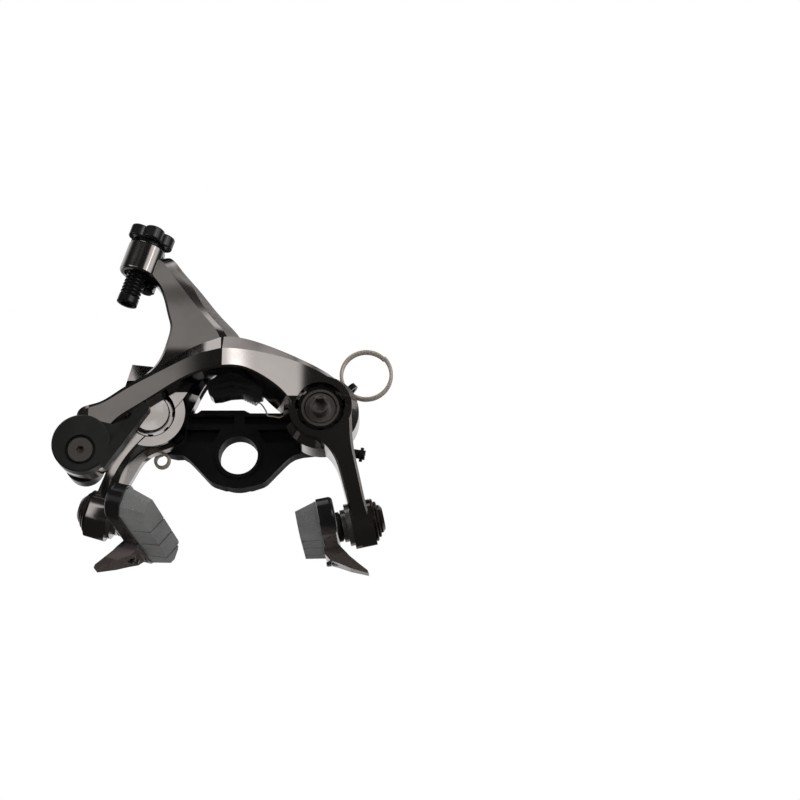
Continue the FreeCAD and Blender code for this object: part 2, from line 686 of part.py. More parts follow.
def stopper_frame():
    """Placement of the stopper pin's eye: X leads away from the pivot and Z runs through the eye."""
    turn = math.radians(size("pin_angle"))
    way = V(math.cos(turn), 0, math.sin(turn))
    through = V(math.sin(turn), 0, -math.cos(turn))
    side = through.cross(way)
    eye = at(size(RIGHT_X), size("pin_front"), 0) + way * size("eye_reach")
    return FreeCAD.Placement(FreeCAD.Matrix(way.x, side.x, through.x, eye.x,
                                            way.y, side.y, through.y, eye.y,
                                            way.z, side.z, through.z, eye.z,
                                            0, 0, 0, 1))


def along_arch(offset):
    """A place along the arch, given from the right pivot for a cable anchor that is 76.1 mm away."""
    return offset * size(ANCHOR_REACH) / 76.1


def arch_section(inner, outer, front, back, **shape):
    return limb_section(size(RIGHT_X), (along_arch(inner[0]), inner[1]), (along_arch(outer[0]), outer[1]),
                        front, back, **shape)


def make_arch_arm():
    pivot = size(RIGHT_X)
    front = size("arch_front")
    crown = front + size("crown_rise")
    thin = size("arch_back")
    back = size(ARM_BACK)
    crown_section = arch_section((-32.0, 13.0), (-32.6, 19.4), crown, thin, bevel=5.0)
    left_part = limb([
        arch_section((-73.0, -18.5), (-78.5, -6.5), front, thin, bevel=0.8),
        arch_section((-67.0, -6.0), (-71.3, 0.7), front + 0.1, thin, bevel=1.0),
        arch_section((-61.4, -1.6), (-65.0, 4.4), front + 0.3, thin, bevel=1.2),
        arch_section((-55.2, 2.3), (-58.7, 8.1), front + 0.5, thin, bevel=1.5),
        arch_section((-49.0, 6.4), (-52.3, 11.5), front + 0.7, thin, bevel=1.9),
        arch_section((-43.0, 9.8), (-45.9, 14.9), front + 0.9, thin, bevel=2.7),
        arch_section((-37.2, 12.0), (-39.4, 17.7), front + 1.1, thin, bevel=3.8),
        crown_section,
    ])
    right_part = limb([
        crown_section,
        arch_section((-26.4, 12.9), (-26.0, 19.1), crown - 0.1, thin, bevel=4.9, flare=0.3),
        arch_section((-21.6, 11.2), (-19.5, 18.1), crown - 0.3, 17.0, bevel=3.6, flare=1.8),
        arch_section((-17.2, 8.6), (-13.0, 16.6), crown - 0.6, 13.5, bevel=2.4, flare=2.8),
        arch_section((-13.1, 5.4), (-6.5, 14.5), crown - 0.9, 11.0, bevel=1.5, flare=2.8),
        arch_section((-9.7, 1.2), (0.5, 11.2), front, back + 0.4, bevel=1.1, flare=1.6),
        arch_section((-7.6, -3.4), (6.3, 6.6), front, back + 0.4, bevel=0.9, flare=0.6),
    ])
    foot_x = size("right_shoe_x")
    foot_z = -size("right_shoe_drop")
    leg = limb([
        limb_section(pivot, (-7.4, -4.4), (9.4, -2.6), front, back + 1.0),
        limb_section(pivot, (-2.9, -9.0), (9.6, -7.8), front, back + 1.2),
        limb_section(pivot, (1.7, -12.7), (10.0, -12.3), front - 0.1, back + 1.5),
        limb_section(pivot, (5.0, -17.4), (11.0, -17.6), front - 0.8, back + 2.0),
        limb_section(pivot, (6.7, -22.4), (12.2, -22.8), front - 1.6, back + 2.4),
        limb_section(pivot, (foot_x - 5.1, foot_z + 7.2), (foot_x + 0.3, foot_z + 6.0), front - 2.9, back + 2.8),
        limb_section(pivot, (foot_x - 3.8, foot_z + 1.2), (foot_x + 2.3, foot_z + 0.2), front - 4.4, back + 3.2),
    ])
    hub_profile = [
        (0, back), (size("arm_hub_back_radius"), back), (size("arm_hub_back_radius"), thin),
        (size("arm_hub_front_radius"), thin + 3), (size("arm_hub_front_radius"), front), (0, front),
    ]
    half_hub = Part.Face(closed([at(pivot + radius, height, 0) for radius, height in hub_profile]))
    hub = half_hub.revolve(V(pivot, 0, 0), Y_AXIS, 360)
    anchor_x = pivot - size(ANCHOR_REACH)
    anchor_z = -size("anchor_drop")
    end = drum(anchor_x, anchor_z, size("anchor_radius - 0.2"), thin, front)
    boss, slot = shoe_boss("right")
    arm = left_part.fuse([right_part, leg, hub, end, boss])
    arm = arm.cut([pivot_cuts(pivot, front), slot])
    arm = arm.cut(drum(anchor_x, anchor_z, size("journal_radius + turning_gap"), thin - 5, front + 5))
    turn = math.radians(size("pin_angle"))
    pin_way = V(math.cos(turn), 0, math.sin(turn))
    pin_level = at(pivot, size("pin_front"), 0)
    arm = arm.cut(Part.makeCylinder(size("pin_radius + turning_gap"), 20, pin_level + pin_way * 5, pin_way))
    room = size("eye_radius + eye_rim + free_gap")
    width = size("eye_thick") + 0.5
    notch = Part.makeBox(20, 2 * room, width, V(0, -room, -width / 2))
    notch = notch.fuse(Part.makeCylinder(room, width, V(0, 0, -width / 2), Z_AXIS))
    ring_deep = size("ring_inset + pull_wire + 2 * free_gap")
    ring_high = size("pull_pitch + pull_wire + free_gap")
    ring_wide = size("ring_room_half")
    notch = notch.fuse(Part.makeBox(20, 2 * ring_high, 2 * ring_wide, V(-ring_deep, -ring_high, -ring_wide)))
    notch.Placement = stopper_frame()
    arm = arm.cut(notch)
    arm = arm.cut(screw_shape(size("screw_radius + turning_gap"), 0))
    return solid("arch_arm", arm.removeSplitter())


def screw_shape(radius, head):
    """The centering screw or, with no head, the hole that it turns in."""
    pivot = size(RIGHT_X)
    slope = math.radians(10)
    way = V(math.cos(slope), 0, -math.sin(slope))
    start = at(pivot + 2.0, 14.5, -10.9)
    shape = Part.makeCylinder(radius, 11.6, start, way)
    if head:
        flange = Part.makeCylinder(head, 1.0, start + way * 10.9, way)
        cap = Part.makeCylinder(head - 0.8, 0.7, start + way * 11.9, way)
        shape = shape.fuse([flange, cap])
        slit = Part.makeBox(0.6, 8, 0.6, V(-0.3, -4, 0))
        slit.Placement = FreeCAD.Placement(start + way * 12.1, FreeCAD.Rotation(Y_AXIS, 100))
        shape = shape.cut(slit)
    return shape.removeSplitter()


def make_centering_screw():
    return solid("centering_screw", screw_shape(size("screw_radius"), size("screw_flange")))


def make_quick_release():
    """Lever with its hub and journal, the eccentric cable bolt and its clamp nut."""
    pivot = size(RIGHT_X)
    x = pivot - size(ANCHOR_REACH)
    z = -size("anchor_drop")
    radius = size("anchor_radius")
    top = size("anchor_front")
    seat = size("arch_front + flat_gap + 0.1")
    hub = drum(x, z, radius, seat, top)
    rim = hub.Edges
    hub = hub.makeChamfer(0.5, [edge for edge in rim if abs(edge.BoundBox.YMin + top) < 0.01
                                and abs(edge.BoundBox.YMax + top) < 0.01])
    slope = math.radians(size("lever_tilt"))
    way = V(math.cos(slope), 0, math.sin(slope))
    side = V(math.sin(slope), 0, -math.cos(slope))
    foot = V(x, 0, z) + side * radius
    half = size("lever_half_width")
    length = size("lever_length")
    lever_back = top - size("lever_thick")
    root = foot - way * 2.0

    def flat(point):
        return (point.x, point.z)

    ridge = prism([flat(root + side * half), flat(foot + way * length + side * half),
                   flat(foot + way * length - side * half), flat(root - side * half)], lever_back, top)
    tip = foot + way * length
    knuckle = drum(tip.x, tip.z, half, lever_back, top)
    upper = V(x, 0, z) + way * (radius * 0.75) + side * (radius * 0.35)
    web = prism([flat(foot), flat(foot + way * (length - 5) - side * half), flat(foot + way * 11 - side * 5.0),
                 flat(foot + way * 9.4 - side * 9.0), flat(V(x, 0, z) + way * radius * 0.98),
                 flat(upper), flat(V(x, 0, z))], lever_back, top - 1.1)
    journal = drum(x, z, size("journal_radius"), size("arch_back") - 0.6, seat + 0.5)
    bolt_z = z - size("bolt_throw")
    hole = drum(x, bolt_z, size("cable_bolt_radius"), 5, top + 5)
    well = drum(x, bolt_z, size("cable_head_well"), top - 1.3, top + 5)
    lever = hub.fuse([ridge, knuckle, web, journal]).removeSplitter().cut([hole, well])
    solid("quick_release_lever", lever)

    body = start_body("cable_bolt")
    shank = "cable_bolt_radius"
    pad(body, circles(body, "XY_Plane", [("0", "0", shank)]), "anchor_front - 1.3 - arch_back + 0.6 + clamp_thick + 0.8")
    pad(body, circles(body, "XY_Plane", [("0", "0", "cable_head_radius")],
                      "anchor_front - 1.3 - arch_back + 0.6 + clamp_thick + 0.8"), "1.2")
    pocket(body, hexagon(body, "cable_key", "anchor_front - arch_back + 0.6 + clamp_thick + 0.7"), "2.0")
    put(body, f"{LEFT_X} - anchor_out", "arch_back - 0.6 - clamp_thick - 0.8", "-anchor_drop - bolt_throw")

    clamp = start_body("cable_clamp")
    plate_disc = circles(clamp, "XY_Plane", [("-clamp_left", "-clamp_down", "clamp_radius")])
    pad(clamp, plate_disc, "clamp_thick")
    pocket(clamp, circles(clamp, "XY_Plane", [("0", "0", "cable_bolt_radius")], "clamp_thick + 1"), "clamp_thick + 2")
    put(clamp, f"{LEFT_X} - anchor_out", "arch_back - 0.6 - clamp_thick", "-anchor_drop - bolt_throw")


def under_crown(offset):
    """A place on the spring cover, which ends short of the hub and of the cable arm on the left pivot."""
    fixed = size("cover_right")
    return (offset + fixed) * size("bolt_spacing - cover_taken") / size("cover_reach") - fixed


def make_spring_cover():
    """The hooked plastic guide under the crown of the arch."""
    pivot = size(RIGHT_X)
    outline = [(-38.4, 10.6), (-37.0, 6.3), (-35.6, 5.0), (-33.2, 5.2), (-30.2, 6.1), (-26.0, 6.4),
               (-22.4, 5.2), (-19.6, 5.6), (-19.0, 8.4), (-20.6, 12.4), (-23.4, 14.6), (-30.0, 15.6), (-33.0, 14.6),
               (-35.5, 12.0)]
    shape = prism([(pivot + under_crown(x), z) for x, z in outline], 13.0, 20.2)
    shape = shape.makeFillet(0.5, [edge for edge in shape.Edges if edge.Length > 1.0 and edge.Length < 6.9])
    lip = prism([(pivot + under_crown(x), z) for x, z in [(-36.4, 8.6), (-30.0, 10.2), (-22.0, 9.0), (-22.6, 7.9),
                                             (-30.0, 8.9), (-36.0, 7.5)]], 20.0, 21.6)
    cover = shape.fuse(lip)
    arm = doc.getObject("arch_arm").Shape
    return solid("spring_cover", cover.cut(arm).removeSplitter())


def make_helper_spring():
    """A small coil spring with a hooked end, under the arch beside the spring cover."""
    radius = size("helper_radius")
    wire = size("helper_wire")
    pitch = size("helper_pitch")
    pivot = size(RIGHT_X)
    start = at(pivot + along_arch(-26.4), 11.4, 8.2)
    axis = V(0.9, 0, -0.436).normalize()
    turns = coil_stations(start, axis, V(0, -1, 0), radius, pitch, HELPER_TURNS + 0.25)
    last, way = turns[-1]
    hook = [
        (last + V(1.6, 0, 0.6), V(0.8, 0, -0.6)),
        (last + V(3.2, 0, -1.4), V(0.55, 0, -0.84).normalize()),
        (last + V(5.0, 0, -3.9), X_AXIS),
        (V(pivot - size("arm_hub_back_radius + helper_wire + free_gap"), last.y, last.z - 3.7),
         V(0.7, 0, 0.714).normalize()),
    ]
    print_self_gap("helper spring", radius, wire, pitch)
    return solid("helper_spring", tube(turns + hook, wire))


def make_stopper():
    """The stopper pin in the arch's hub, and the wire ring through its eye."""
    reach = size("eye_reach")
    tip = size("pin_depth")
    thick = size("eye_thick")
    shank = Part.makeCylinder(size("pin_radius"), reach - tip, V(tip - reach, 0, 0), X_AXIS)
    tab = Part.makeCylinder(size("eye_radius + eye_rim"), thick, V(0, 0, -thick / 2), Z_AXIS)
    hole = Part.makeCylinder(size("eye_radius"), 8, V(0, 0, -4), Z_AXIS)
    pin = shank.fuse(tab).cut(hole).removeSplitter()
    pin.Placement = stopper_frame()
    solid("stopper_pin", pin)

    radius = size("pull_ring_radius")
    pitch = size("pull_pitch")
    centre = V(radius - size("ring_inset"), -pitch * PULL_RING_TURNS / 2, 0)
    turns = coil_stations(centre, Y_AXIS, X_AXIS, radius, pitch, PULL_RING_TURNS)
    print_self_gap("pull ring", radius, size("pull_wire"), pitch)
    ring = tube(turns, size("pull_wire"))
    ring.Placement = stopper_frame()
    solid("pull_ring", ring)


# The cable arm

def adjuster_way():
    """Direction of the cable adjuster's axis, upwards."""
    lean = math.tan(math.radians(size("adjuster_lean")))
    nod = math.tan(math.radians(size("adjuster_nod")))
    return V(lean, nod, 1).normalize()


def adjuster_middle():
    return at(size(f"{LEFT_X} - adjuster_out"), size("adjuster_front"), size("adjuster_high"))


def along_adjuster(piece):
    piece.Placement = FreeCAD.Placement(adjuster_middle(), FreeCAD.Rotation(Z_AXIS, adjuster_way()))
    doc.recompute()
    return piece


def make_cable_arm():
    pivot = size(LEFT_X)
    front = size("cable_arm_front")
    back = size(ARM_BACK)
    foot_x = -size("left_shoe_x")
    foot_z = -size("left_shoe_drop")
    body = limb([
        bent_section(pivot, (-4.4, 50.6), (0.2, 53.0), (1.6, 53.8), (2.8, 54.5), front + 2.0, back + 4.8, 2, 4),
        bent_section(pivot, (-1.6, 46.9), (4.6, 49.0), (6.5, 49.7), (8.5, 50.3), front + 2.2, back + 4.3, 2.3, 4.6),
        bent_section(pivot, (0.9, 44.0), (8.0, 44.4), (10.7, 44.6), (13.4, 44.7), front + 1.8, back + 4.0, 2.5, 5),
        bent_section(pivot, (2.9, 39.6), (11.4, 40.0), (14.2, 40.1), (17.1, 40.3), front + 0.9, back + 3.3, 2.5, 5),
        bent_section(pivot, (4.5, 33.4), (16.8, 33.5), (19.8, 33.5), (22.9, 33.5), front, back + 2.4, 2.5, 5),
        bent_section(pivot, (5.3, 29.9), (19.9, 29.7), (23.2, 29.6), (26.6, 29.6), front, back + 1.8, 2.5, 5),
        bent_section(pivot, (4.5, 25.4), (22.2, 24.8), (25.6, 24.6), (29.0, 24.5), front, back + 1.2, 2.5, 5),
        bent_section(pivot, (3.0, 20.6), (19.0, 18.0), (21.2, 17.6), (23.4, 17.3), front, back + 0.7, 2.2, 4.5),
        bent_section(pivot, (-0.4, 15.2), (14.6, 11.6), (16.0, 11.3), (17.4, 11.0), front, back + 0.4, 2, 4.5),
        bent_section(pivot, (-7.4, 8.4), (10.4, 4.6), (12.0, 4.4), (13.8, 4.0), front, back + 0.3, 2.2, 5),
        bent_section(pivot, (-10.0, 1.4), (5.6, -0.6), (9.6, -1.4), (11.6, -1.7), front, back + 0.3, 2.4, 6),
        bent_section(pivot, (-11.2, -5.6), (-1.0, -7.2), (5.0, -8.2), (9.2, -8.8), front, back + 0.5),
        bent_section(pivot, (-12.0, -11.0), (-5.2, -11.6), (-1.2, -12.0), (1.0, -12.2), front, back + 0.8),
        bent_section(pivot, (-13.0, -16.4), (-8.4, -15.9), (-5.6, -15.7), (-3.0, -15.5), front, back + 1.2),
        bent_section(pivot, (-14.6, -22.0), (-11.2, -21.5), (-9.0, -21.2), (-5.9, -20.8), front + 0.2, back + 1.6),
        bent_section(pivot, (foot_x - 1.4, foot_z + 5.6), (foot_x + 1.9, foot_z + 5.8),
                     (foot_x + 4.0, foot_z + 6.1), (foot_x + 6.4, foot_z + 6.4), front + 2.0, back + 2.2),
        bent_section(pivot, (foot_x - 2.4, foot_z + 0.6), (foot_x + 0.4, foot_z + 0.9),
                     (foot_x + 2.2, foot_z + 1.1), (foot_x + 4.2, foot_z + 1.5), front + 3.0, back + 2.8),
    ])
    hub = drum(pivot, 0, size("cable_hub_radius"), back, front - 0.2)
    lug = prism([(pivot + x, z) for x, z in [(-7.7, 18.6), (-0.4, 17.8), (5.0, 12.0), (-4.0, 2.0),
                                             (-10.2, 9.6)]], back + 0.15, back + 4.0)
    way = adjuster_way()
    middle = adjuster_middle()
    low = size("adjuster_boss_down")
    high = size("adjuster_boss_up")
    radius = size("adjuster_boss_radius")
    boss = Part.makeCylinder(radius, low + high, middle - way * low, way)
    boss = boss.makeFillet(0.7, [edge for edge in boss.Edges if edge.Closed])
    stub = Part.makeCylinder(2.9, 7.5, middle + V(3.4, 5.6, 0) - way * 8.6, way)
    foot, slot = shoe_boss("left")
    arm = body.fuse([hub, lug, boss, stub, foot])
    insert = size("barrel_radius + turning_gap + insert_wall")
    arm = arm.cut(Part.makeCylinder(insert, 60, middle - way * (low + 18), way))
    arm = arm.cut([pivot_cuts(pivot, front), slot])
    plug_hole = Part.makeCylinder(1.6, 3.6, middle + V(3.4, 5.6, 0) - way * 9.1, way)
    return solid("cable_arm", arm.cut(plug_hole).removeSplitter())


def make_adjuster():
    """The threaded insert in the boss, the hollow barrel, its knob and the click plug."""
    along_adjuster(turned("adjuster_insert", [
        ("barrel_radius + turning_gap", "-adjuster_boss_down + 0.3"),
        ("barrel_radius + turning_gap + insert_wall", "-adjuster_boss_down + 0.3"),
        ("barrel_radius + turning_gap + insert_wall", "adjuster_boss_up - 0.3"),
        ("barrel_radius + turning_gap", "adjuster_boss_up - 0.3"),
    ]))
    knob_low = "(adjuster_boss_up + click_washer_thick + 0.1)"
    knob_top = "(adjuster_boss_up + click_washer_thick + 0.1 + knob_thick)"
    along_adjuster(turned("adjuster_barrel", [
        ("barrel_bore", "-barrel_below"), ("barrel_radius - 0.6", "-barrel_below"),
        ("barrel_radius", "-barrel_below + 0.6"), ("barrel_radius", f"{knob_top} - 0.6"),
        ("socket_radius", f"{knob_top} - 0.6"), ("socket_radius", f"{knob_top} - socket_depth"),
        ("barrel_bore", f"{knob_top} - socket_depth"),
    ]))
    knob = start_body("adjuster_knob")
    pad(knob, circles(knob, "XY_Plane", [("0", "0", "knob_radius")], knob_low), "knob_thick")
    lobe_sketch = circles(knob, "XY_Plane", [("lobe_offset", "0", "lobe_round")], knob_low)
    polar(knob, pad(knob, lobe_sketch, "knob_thick"), lobe_sketch, KNOB_LOBES)
    rim = [f"Edge{number}" for number, edge in enumerate(knob.Shape.Edges, start=1)
           if edge.BoundBox.ZLength < 0.01]
    lobed = knob.Tip
    soft = knob.newObject("PartDesign::Fillet", "adjuster_knob_rounding")
    soft.Base = (lobed, rim)
    soft.Radius = 0.5
    knob.Tip = soft
    doc.recompute()
    dimple = circles(knob, "XY_Plane", [("lobe_offset + 0.4", "0", "0.9")], knob_low)
    polar(knob, pocket(knob, dimple, "1.2", backwards=True), dimple, KNOB_LOBES)
    pocket(knob, circles(knob, "XY_Plane", [("0", "0", "barrel_radius + turning_gap")], knob_top), "knob_thick + 1")
    along_adjuster(knob)
    seal = turned("adjuster_spring_washer", [
        ("barrel_radius + turning_gap", "adjuster_boss_up"), ("barrel_radius + 1.7", "adjuster_boss_up"),
        ("barrel_radius + 1.7", "adjuster_boss_up + click_washer_thick"),
        ("barrel_radius + turning_gap", "adjuster_boss_up + click_washer_thick"),
    ])
    along_adjuster(seal)
    way = adjuster_way()
    foot = adjuster_middle() + V(3.4, 5.6, 0) - way * 9.4
    plug = Part.makeCylinder(1.6, 3.8, foot, way)
    ball = Part.makeCylinder(2.1, 0.8, foot, way)
    solid("click_plug", plug.fuse(ball).removeSplitter())


# The two brake shoes

def in_arm(piece, side):
    """Place a piece that keeps the shoe bolt's direction."""
    piece.Placement = shoe_frame(side)
    doc.recompute()
    return piece


def in_shoe(piece, side):
    """Place a piece of the shoe, which swivels about the bolt and leans in the round seat."""
    swivel = FreeCAD.Rotation(Z_AXIS, size(f"{side}_shoe_turn"))
    lean = FreeCAD.Rotation(Y_AXIS, -size(f"{side}_shoe_toe"))
    centre = V(0, 0, size("seat_centre"))
    tilted = FreeCAD.Placement(centre, swivel.multiply(lean)).multiply(FreeCAD.Placement(-centre, FreeCAD.Rotation()))
    piece.Placement = shoe_frame(side).multiply(tilted)
    doc.recompute()
    return piece


def seat_profile(radius, reach, count=6):
    """Heights of a round seat of the given radius, from its rim inwards, as pairs of radius and height."""
    steps = []
    for step in range(count + 1):
        across = f"({reach[0]} + ({reach[1]} - {reach[0]}) * {step} / {count})"
        steps.append((across, f"seat_centre - sqrt({radius} ^ 2 - {across} ^ 2)"))
    return steps


def make_shoe_fasteners(side):
    """The shoe bolt, its washers and its nut, which travel together in the arm's slot."""
    half = "shoe_boss_half"
    step = "shoe_washer_thick"
    head_low = f"(-{half} - 2 * {step})"
    nut_low = f"({HOLDER_BACK} + shoe_nut_lift)"
    tip = f"({nut_low} + shoe_nut_thick)"
    bolt = turned(f"{side}_shoe_bolt", [
        ("0", f"{head_low} - shoe_head_high"), ("shoe_head_radius - 1.0", f"{head_low} - shoe_head_high"),
        ("shoe_head_radius", f"{head_low} - 0.7"), ("shoe_head_radius", head_low),
        ("shoe_bolt_radius", head_low), ("shoe_bolt_radius", tip), ("0", tip),
    ])
    pocket(bolt, hexagon(bolt, "shoe_key", f"{head_low} - shoe_head_high"), "1.4", backwards=True)
    in_arm(bolt, side)
    bore = size("shoe_bolt_radius + turning_gap")
    rings = []
    low = -size(half)
    for radius in (size("outer_washer_radius"), size("step_washer_radius")):
        ring = Part.makeCylinder(radius, size(step), V(0, 0, low - size(step)), Z_AXIS)
        ring = ring.makeChamfer(0.3, [edge for edge in ring.Edges if edge.Closed])
        rings.append(ring.cut(Part.makeCylinder(bore, 30, V(0, 0, -15), Z_AXIS)))
        low -= size(step)
    in_arm(solid(f"{side}_outer_washers", Part.Compound(rings)), side)
    inner_top = f"({half} + silver_washer_thick)"
    in_arm(turned(f"{side}_inner_washer", [
        ("shoe_bolt_radius + turning_gap", half), ("silver_washer_radius", half),
        ("silver_washer_radius", inner_top), ("shoe_bolt_radius + turning_gap", inner_top),
    ]), side)
    inside = "(shoe_bolt_radius + 0.3)"
    in_arm(turned(f"{side}_cup_washer", [(inside, inner_top), ("cup_radius", inner_top)]
                  + [("cup_radius", f"{inner_top} + cup_thick")]
                  + seat_profile("seat_radius", ("(cup_radius - 0.6)", inside))), side)
    nut = start_body(f"{side}_shoe_nut")
    corners = [(f"shoe_nut_radius * cos({60 * corner})", f"shoe_nut_radius * sin({60 * corner})")
               for corner in range(6)]
    pad(nut, polygon(nut, "XY_Plane", corners, nut_low), "shoe_nut_thick")
    pocket(nut, circles(nut, "XY_Plane", [("0", "0", "shoe_bolt_radius")], f"{nut_low} + 3"), "4")
    in_arm(nut, side)


def bar(half_length, width, low, high):
    """A bar with rounded ends along the shoe."""
    reach = half_length - width
    box = Part.makeBox(2 * reach, 2 * width, high - low, V(-reach, -width, low))
    ends = [Part.makeCylinder(width, high - low, V(end * reach, 0, low), Z_AXIS) for end in (-1, 1)]
    return box.fuse(ends).removeSplitter()


def rubber_outline(near, far, reach, corner, level):
    """The corners of the pad's outline at one level above the arm's middle."""
    return [
        V(near, -reach + corner, level), V(near + corner, -reach, level),
        V(far - corner, -reach, level), V(far, -reach + corner, level),
        V(far, reach - corner, level), V(far - corner, reach, level),
        V(near + corner, reach, level), V(near, reach - corner, level),
    ]


def between(foot_ring, face_ring):
    """The flat-sided solid between two outlines that have their sides in the same directions."""
    sides = []
    for index, corner in enumerate(foot_ring):
        after = (index + 1) % len(foot_ring)
        sides.append(Part.Face(closed([corner, foot_ring[after], face_ring[after], face_ring[index]])))
    caps = [Part.Face(closed(foot_ring)), Part.Face(closed(face_ring))]
    shape = Part.Solid(Part.makeShell(sides + caps))
    return shape if shape.Volume > 0 else shape.reversed()


def rubber_block(inset):
    """The rubber that stands out of the holder, or a smaller core of it."""
    end = size("pad_length / 2")
    foot = size("holder_half_high - holder_wall") - inset + 0.3
    low = size(HOLDER_FACE) + 0.05
    high = size(HOLDER_FACE) + size("pad_thick") - inset
    foot_ring = rubber_outline(-end, end, foot, 2.2, low)
    face_ring = rubber_outline(-end + size("pad_near_slope"), end - size("pad_far_slope"),
                               size("pad_face_half") - inset, 1.3, high)
    return between(foot_ring, face_ring)


def make_rim_guide():
    """The curved fin that hangs from the holder's lower edge and guides the rim between the shoes."""
    low = size(HOLDER_BACK)
    high = size(HOLDER_FACE)
    edge = size("holder_half_high")
    side_view = [(edge - 3.0, high + 0.1), (edge + 1.4, high + 0.4), (edge + 3.6, high - 0.9), (edge + 5.0, high - 3.3),
                 (edge + 7.3, low - 1.6), (edge + 10.0, low - 7.1), (edge + 8.9, low - 6.9), (edge + 6.4, low - 4.6),
                 (edge + 3.4, low - 2.1), (edge - 0.4, low + 0.3), (edge - 3.0, low + 0.9)]
    front_view = [(2.4, edge - 3.0), (13.8, edge - 3.0), (13.4, edge + 2.0), (11.4, edge + 6.0), (9.6, edge + 10.2),
                  (5.2, edge + 10.2), (3.6, edge + 6.0), (2.6, edge + 2.0)]
    slab = Part.Face(closed([V(0, drop, level) for drop, level in side_view])).extrude(V(20, 0, 0))
    mask = Part.Face(closed([V(along, drop, -5) for along, drop in front_view])).extrude(V(0, 0, 30))
    guide = slab.common(mask)
    long_edges = [item for item in guide.Edges if item.Length > 1.9]
    try:
        return guide.makeFillet(0.45, long_edges)
    except Part.OCCError:
        return guide


def groove_slab(along, level):
    """The room of one groove: straight on the pad's lower and upper sides and slanting across its face."""
    width = size("groove_width")
    slant = size("groove_slant")
    edge = size("pad_face_half")
    path = [(along, 9), (along, edge), (along + slant, -edge), (along + slant, -9)]
    back = [(x + width, y) for x, y in reversed(path)]
    return Part.Face(closed([V(x, y, level) for x, y in path + back])).extrude(V(0, 0, 30))


def make_shoe(side):
    """The domed washer, the holder with its rim guide, the rubber pad and the pad's screw."""
    dome = "(seat_radius - free_gap)"
    in_shoe(turned(f"{side}_ball_washer", [("ball_bore", HOLDER_BACK), ("ball_radius", HOLDER_BACK)]
                   + seat_profile(dome, ("ball_radius", "ball_bore"))), side)

    def shoe_piece(name, shape):
        """A piece modelled with its lower edge along +Y, mirrored for the left shoe."""
        shape = shape.removeSplitter()
        if side == "left":
            shape = shape.mirror(V(0, 0, 0), Y_AXIS)
        in_shoe(solid(f"{side}_{name}", shape), side)

    low = size(HOLDER_BACK)
    high = size(HOLDER_FACE)
    half = size("holder_length / 2")
    tall = size("holder_half_high")
    shell = bar(half, tall, low, high)
    shell = shell.makeFillet(1.3, [edge for edge in shell.Edges if abs(edge.BoundBox.ZMax - low) < 0.01])
    channel_floor = high - size("pad_seat") - 0.05
    foot_half = tall - size("holder_wall") - 0.05
    end = size("pad_length / 2")
    channel = bar(end + 0.05, foot_half + 0.05, channel_floor, high + 2)
    nut_room = Part.makeCylinder(size("shoe_nut_radius") + 0.8, 20, V(0, 0, low + 0.9), Z_AXIS)
    shell = shell.cut([channel, nut_room, Part.makeCylinder(size("ball_bore"), 20, V(0, 0, low - 5), Z_AXIS)])
    shell = shell.fuse(make_rim_guide()).cut([rubber_block(-0.05), channel])
    screw_along = 8.0
    screw_level = high - 1.2
    screw_foot = tall - 2.6
    screw_tip = tall + 3.1

    def screw_rod(radius, first, last):
        return Part.makeCylinder(radius, last - first, V(screw_along, first, screw_level), Y_AXIS)

    shoe_piece("shoe_holder", shell.cut([screw_rod(1.0, screw_foot, screw_tip + 3), screw_rod(1.9, screw_tip, 20)]))

    relief = Part.makeCylinder(size("shoe_nut_radius") + 0.9, 1.0, V(0, 0, channel_floor), Z_AXIS)
    rubber = bar(end - 0.2, foot_half, channel_floor + 0.05, high + 0.4).fuse(rubber_block(0)).cut(relief)
    core = rubber_block(size("groove_depth"))
    for groove in range(PAD_GROOVES):
        along = size("groove_first") + size("groove_step") * groove
        rubber = rubber.cut(groove_slab(along, high + 1.4).cut(core))
    shoe_piece("brake_pad", rubber.cut(screw_rod(1.0, screw_foot, screw_tip)))

    head = screw_rod(1.8, screw_tip + 0.05, screw_tip + 1.2)
    slot = Part.makeBox(4.0, 0.6, 0.6, V(screw_along - 2.0, screw_tip + 0.6, screw_level - 0.3))
    shoe_piece("pad_screw", screw_rod(0.95, screw_foot + 0.05, screw_tip + 0.2).fuse(head).cut(slot))


make_fixing_plate()
make_pivot("right", RIGHT_X, "arch_front", "right_nose", "right_key_depth")
make_pivot("left", LEFT_X, "cable_arm_front", "left_nose", "left_key_depth")
make_pivot_cap()
make_thrust_washers()
make_return_spring()
make_spring_seat()
make_arch_arm()
make_bush("arch", RIGHT_X, "arch_front")
make_centering_screw()
make_quick_release()
make_spring_cover()
make_helper_spring()
make_stopper()
make_cable_arm()
make_bush("cable", LEFT_X, "cable_arm_front")
make_adjuster()
for shoe_side in ("right", "left"):
    make_shoe_fasteners(shoe_side)
    make_shoe(shoe_side)

doc.recompute()
for item in doc.Objects:
    if "Invalid" in item.State or "Error" in item.State:
        raise RuntimeError(f"{item.Label} is {item.State}")
for item in subparts:
    if item.Shape.isNull() or not item.Shape.isValid():
        raise RuntimeError(f"{item.Label} has no valid shape")

os.makedirs("parts", exist_ok=True)
for item in subparts:
    item.Shape.exportStep(f"parts/{item.Label}.step")
    print(f"{item.Label}: {len(item.Shape.Solids)} solid, {item.Shape.Volume:.1f} mm3")
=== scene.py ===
"""Looks of the bicycle rim brake caliper: its finishes, its fine parts and a plain studio."""

import logging
import math
from dataclasses import dataclass
from enum import Enum
from typing import Callable, Iterable, Sequence, Union

import bpy
from mathutils import Matrix, Vector


